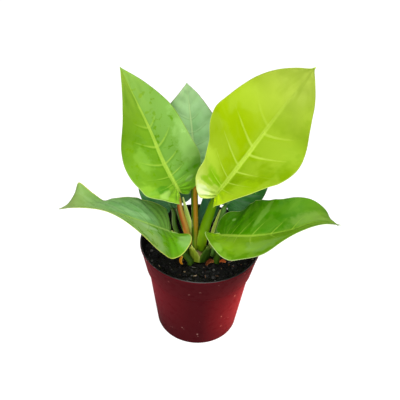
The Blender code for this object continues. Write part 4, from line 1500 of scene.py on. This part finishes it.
LEAVES = (
    Leaf("a",
         midrib=((-.029, .008, .200), (-.048, .019, .234), (-.064, .030, .269), (-.081, .035, .305),
                 (-.096, .036, .341)),
         half_width=(.047, .044), twist=(-29, -2, 0, -18, -27), rise=((22, 19, 17), (14, 28, 12)),
         wave=((0, 0, 0, .001, .001, .001, 0), (0, -.001, -.001, 0, .002, .003, 0)), lobe=(22, -10),
         folds=(.0016, .0012),
         swells=(((.15, .06, -.004), (.355, .02, .0015), (.41, .025, -.0045), (.57, .03, .0022)),
                 ((.205, .03, -.004), (.34, .03, .002), (.66, .05, -.003))),
         foot=(-.0080, -.0065), stalk=((-.0144, -.0085, .143), (-.0195, -.007, .162), (-.0255, -.002, .180)),
         radii=(.0038, .0040, .0030, .0020), on_crown=True, finish=FRESH, stalk_finish=RED_STALK),
    Leaf("b",
         midrib=((.014, -.006, .205), (.044, .022, .238), (.071, .040, .275), (.093, .039, .315),
                 (.109, .019, .358)),
         half_width=(.071, .065), twist=(20, 9, 1, -2, -7), rise=((80, 44, 4), (43, 12, -3)),
         wave=((.007, -.015, .004, .002, -.003, .007, .004), (-.001, 0, .003, -.003, .003, -.004, .002)),
         lobe=(10, 10), flare=(.3, 0), folds=(.0036, .0014),
         swells=(((.09, .04, -.004), (.40, .03, .0025), (.49, .03, .0038), (.585, .035, -.0042), (.79, .06, .0035)),
                 ((.10, .08, -.004), (.30, .05, -.002), (.46, .06, .004), (.73, .02, .0015))),
         foot=(.0020, -.0150), stalk=((.0018, -.0135, .146), (.0048, -.010, .164), (.0096, -.0065, .182)),
         radii=(.0052, .0062, .0054, .0034), seat=(.0001, .0003), on_crown=True, finish=LIME,
         stalk_finish=LIME_STALK),
    Leaf("c",
         midrib=((-.0115, .047, .210), (-.0145, .056, .236), (-.018, .060, .264), (-.0215, .056, .294),
                 (-.024, .043, .323)),
         half_width=(.043, .038), twist=(0, 4, 7, 9, 7), rise=((10, 9, 9), (10, 13, 11)), flare=(-.1, -.3),
         foot=(-.0060, -.0145), stalk=((-.0066, -.0085, .146), (-.0082, .005, .166), (-.0102, .022, .187)),
         radii=(.0036, .0044, .0042, .0032), on_crown=True, finish=GLAUCOUS, stalk_finish=TAWNY_STALK),
    Leaf("d",
         midrib=((-.037, -.022, .163), (-.062, -.039, .188), (-.096, -.043, .204), (-.133, -.035, .204),
                 (-.167, -.016, .184)),
         half_width=(.050, .043), twist=(-10, -31, -54, -55, -72), rise=((17, 19, 9), (4, 5, 9)),
         wave=((.003, -.005, .001, .002, 0, -.002, 0),
               (-.002, -.006, -.010, -.007, -.006, -.002, 0, -.001, -.004, .006, .020, .006, 0)),
         lobe=(56, 0), flare=(0, .15), folds=(.0009, 0),
         swells=(((.345, .03, -.004), (.50, .04, .0012)),
                 ((.22, .13, -.007), (.48, .03, -.003), (.785, .018, .0035), (.84, .03, .0012))),
         foot=(-.0108, -.0262), stalk=((-.020, -.0245, .133), (-.0285, -.0262, .148)),
         radii=(.0040, .0038, .0030, .0021), seat=(.0012, .0013), finish=ARCHED_LEFT, stalk_finish=GREEN_STALK),
    Leaf("e",
         midrib=((.023, -.031, .168), (.061, -.044, .181), (.098, -.040, .188), (.132, -.022, .188),
                 (.167, -.003, .171)),
         half_width=(.0495, .0475), twist=(37, 26, 38, 21, -3), rise=((9, 17, 10), (8, 25, 35, 39, 65)),
         wave=((.001, -.006, -.002, 0, .007, .001, -.005), (.004, -.006, .001, .002, .003, .005, 0)), lobe=(5, 35),
         flare=(-.12, .1), folds=(0, .0016), quilt=.0007,
         swells=(((.17, .08, -.004), (.37, .03, -.0035), (.435, .025, .003), (.515, .025, -.0032),
                  (.61, .035, .0052), (.85, .04, -.003)),
                 ((.37, .03, .002), (.44, .02, -.0012), (.52, .025, -.0024))),
         foot=(.0208, -.0215), stalk=((.0222, -.024, .134), (.0215, -.030, .150)),
         radii=(.0040, .0036, .0030, .0025), seat=(-.0002, .0001), finish=ARCHED_RIGHT, stalk_finish=GREEN_STALK),
    Leaf("f",
         midrib=((-.038, .015, .171), (-.050, .033, .180), (-.062, .052, .188), (-.074, .069, .197),
                 (-.084, .082, .205)),
         half_width=(.027, .026), rise=((16, 12, 10), (34, 20, 12)), foot=(-.0146, -.0083),
         stalk=((-.0235, -.004, .134), (-.0325, .003, .151)), radii=(.0034, .0032, .0027, .0022),
         light=(-0.3, -0.45, 0.8), finish=DEEP, stalk_finish=GREEN_STALK),
    Leaf("g",
         midrib=((.030, .018, .177), (.044, .036, .187), (.059, .053, .199), (.074, .068, .211),
                 (.088, .080, .222)),
         half_width=(.029, .031), rise=((20, 14, 10), (14, 12, 10)), foot=(.0150, -.0070),
         stalk=((.0185, -.002, .140), (.0235, .006, .158)), radii=(.0044, .0042, .0036, .0026),
         light=(0.2, -0.5, 0.8), finish=DEEP, stalk_finish=PAINTED_LIGHT_STALK),
    Leaf("h",
         midrib=((.001, .013, .146), (.007, .026, .158), (.013, .042, .172), (.023, .060, .186),
                 (.034, .078, .197)),
         half_width=(.012, .017), rise=((34, 30, 18), (38, 32, 18)), foot=(.0032, .0020),
         stalk=((.0015, .005, .130),), radii=(.0030, .0026, .0020), light=(0, -0.3, 0.95), finish=SHADED,
         stalk_finish=GREEN_STALK, quilt=.0003),
    Leaf("i",
         midrib=((-.033, .030, .171), (-.036, .056, .174), (-.037, .084, .171), (-.037, .110, .161),
                 (-.037, .132, .146)),
         half_width=(.026, .026), rise=((-12, -10, -6), (10, 10, 8)), foot=(-.0080, .0015),
         stalk=((-.018, .006, .138), (-.0265, .014, .157)), radii=(.0032, .0030, .0026, .0022), light=(0, 0, 1),
         finish=DEEP, stalk_finish=GREEN_STALK),
)


def clasp(*stops: Triple) -> tuple[Triple, ...]:
    """Points round the crown, each by its angle in degrees, how far up and how far out of the ring it lies."""
    turns = ((math.radians(degrees), up, BRACT_RING + out) for degrees, up, out in stops)
    return tuple((CROWN_CENTRE[0] + reach * math.cos(angle), CROWN_CENTRE[1] + reach * math.sin(angle),
                  BRACT_FOOT + up) for angle, up, reach in turns)


BRACTS = (
    Bract("sheath_front", clasp((-137, 0, .0012), (-138, .007, .0018), (-143, .014, .0018), (-156, .021, .0004)),
          (.0220, .0235, .0175, .0008), .0125, (-.731, -.682, .05),
          PaperFinish("#869C24", "#6A8012", "#A8B654")),
    Bract("sheath_right", clasp((-46, 0, .0012), (-44, .009, .0024), (-40, .017, .0026), (-34, .024, .0010)),
          (.0190, .0200, .0150, .0008), .0135, (.719, -.695, .05),
          PaperFinish("#2E4E08", "#223E04", "#4A6A16")),
    Bract("sheath_pale_left",
          ((-.0105, -.0050, .1215), (-.0110, -.0045, .132), (-.0128, -.0030, .148),
           (-.0180, .0030, .168), (-.0238, .0085, .192)),
          (.0034, .0052, .0085, .0072, .0006), .006, (-.3, -.8, .2),
          PaperFinish("#A4C054", "#7E9E34", "#C4D482")),
    Bract("sheath_pale_right",
          ((.0118, -.0120, .1181), (.0130, -.0075, .143), (.0168, -.003, .162), (.0222, .003, .180)),
          (.0030, .0050, .0042, .0006), .006, (.4, -.8, .2),
          PaperFinish("#A2BC42", "#7E982C", "#BECA6E")),
    Bract("scrap_yellow",
          ((-.0205, -.0292, .1183), (-.0228, -.0300, .1217), (-.0232, -.0290, .1262),
           (-.0212, -.0280, .1302)),
          (.0010, .0030, .0030, .0008), .003, (-.2, -.9, .2),
          PaperFinish("#E29E1C", "#BE6E10", "#ECBE46"), .0005),
    Bract("scrap_brown",
          ((.0085, -.0295, .1183), (.0105, -.0280, .1222), (.0135, -.0270, .1247),
           (.0172, -.0272, .1227)),
          (.0012, .0042, .0046, .0010), .003, (0, -.8, .5),
          PaperFinish("#743A18", "#482212", "#C47E40"), .0006),
    Bract("scrap_orange",
          ((.0245, -.0228, .1199), (.0285, -.0221, .1213), (.0325, -.0228, .1197)),
          (.0012, .0036, .0012), .004, (0, -.5, .85),
          PaperFinish("#CC622C", "#963C1A", "#E08242"), .0004),
)


@dataclass
class Crown:
    """The short stem stock, whose solid keeps its shape."""

    finish: CrownFinish = CrownFinish()

    def build(self) -> None:
        """Dress the solid."""
        dress(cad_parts["crown"], self.finish.material())
        LOG.info("crown: dressed")


@dataclass(frozen=True)
class Lamp:
    """A soft square light of a size, or a snooted one with a cone in degrees."""

    name: str
    place: Triple
    target: Triple
    power: float
    size: float = 0.0
    cone: float = 0.0
    tint: Triple = (1.0, 1.0, 1.0)

    def hang(self) -> None:
        """Make the light and turn it to its target."""
        light = bpy.data.lights.new(self.name, "SPOT" if self.cone else "AREA")
        light.color = self.tint
        light.energy = self.power
        if self.cone:
            light.spot_size = math.radians(self.cone)
            light.spot_blend = 0.7
            light.shadow_soft_size = 0.05
        else:
            light.size = self.size
        lamp = bpy.data.objects.new(self.name, light)
        aim = Vector(self.target) - Vector(self.place)
        lamp.matrix_world = Matrix.Translation(self.place) @ aim.to_track_quat("-Z", "Y").to_matrix().to_4x4()
        bpy.context.scene.collection.objects.link(lamp)


@dataclass
class Studio:
    """The pale floor, the soft lights and the camera, which stands where the photo's perspective puts it."""

    camera_at: Triple = (-0.0029, -0.5192, 0.5797)
    camera_right: Triple = (0.9988, 0.0297, 0.0397)
    camera_up: Triple = (-0.0495, 0.5987, 0.7994)
    sensor: float = 36.0
    focal_share: float = 548 / 400
    shift: float = 3 / 400
    floor_radius: float = 4.0
    floor_finish: FloorFinish = FloorFinish()
    room_light: float = 0.38
    lamps: tuple[Lamp, ...] = (
        Lamp("front", (0.10, -0.80, 1.40), (0, 0, 0.22), 20.0, size=1.4),
        Lamp("fill", (0.10, -1.40, 0.35), (0, 0, 0.20), 12.0, size=1.2),
        Lamp("overhead", (-0.1, 0.25, 1.4), (0, 0, 0.2), 6.0, size=1.0),
        Lamp("right", (0.65, 0.03, 0.07), (0, 0, 0.055), 165.0, cone=13.0, tint=(1.0, 0.6, 0.42)),
        Lamp("left", (-0.65, 0.03, 0.09), (0, 0, 0.085), 66.0, cone=12.0, tint=(1.0, 0.75, 0.8)))

    def build(self) -> None:
        """Make the camera, the floor and the lights."""
        self.camera()
        self.floor()
        world = bpy.data.worlds.new("soft_room")
        world.use_nodes = True
        world.node_tree.nodes["Background"].inputs["Color"].default_value = (1, 1, 1, 1)
        world.node_tree.nodes["Background"].inputs["Strength"].default_value = self.room_light
        bpy.context.scene.world = world
        for lamp in self.lamps:
            lamp.hang()
        bpy.context.scene.view_settings.view_transform = "Standard"

    def camera(self) -> None:
        """Stand the camera up."""
        lens = bpy.data.cameras.new("camera")
        lens.sensor_width = self.sensor
        lens.lens = self.sensor * self.focal_share
        lens.shift_y = self.shift
        camera = bpy.data.objects.new("camera", lens)
        bpy.context.scene.collection.objects.link(camera)
        right = Vector(self.camera_right).normalized()
        back = right.cross(Vector(self.camera_up)).normalized()
        turned = Matrix((right, back.cross(right), back)).transposed().to_4x4()
        camera.matrix_world = Matrix.Translation(self.camera_at) @ turned
        bpy.context.scene.camera = camera

    def floor(self) -> None:
        """Lay the floor."""
        pick()
        bpy.ops.mesh.primitive_circle_add(vertices=64, radius=self.floor_radius, fill_type="NGON")
        floor = added("floor")
        dress(floor, self.floor_finish.material())


def main() -> None:
    """Build and dress every piece."""
    logging.basicConfig(level=logging.INFO, format="%(name)s: %(message)s")
    for part in (Studio(), Pot(), Soil(), Crown(), *LEAVES, *BRACTS):
        part.build()
    pick()


if __name__ == "__main__":
    main()
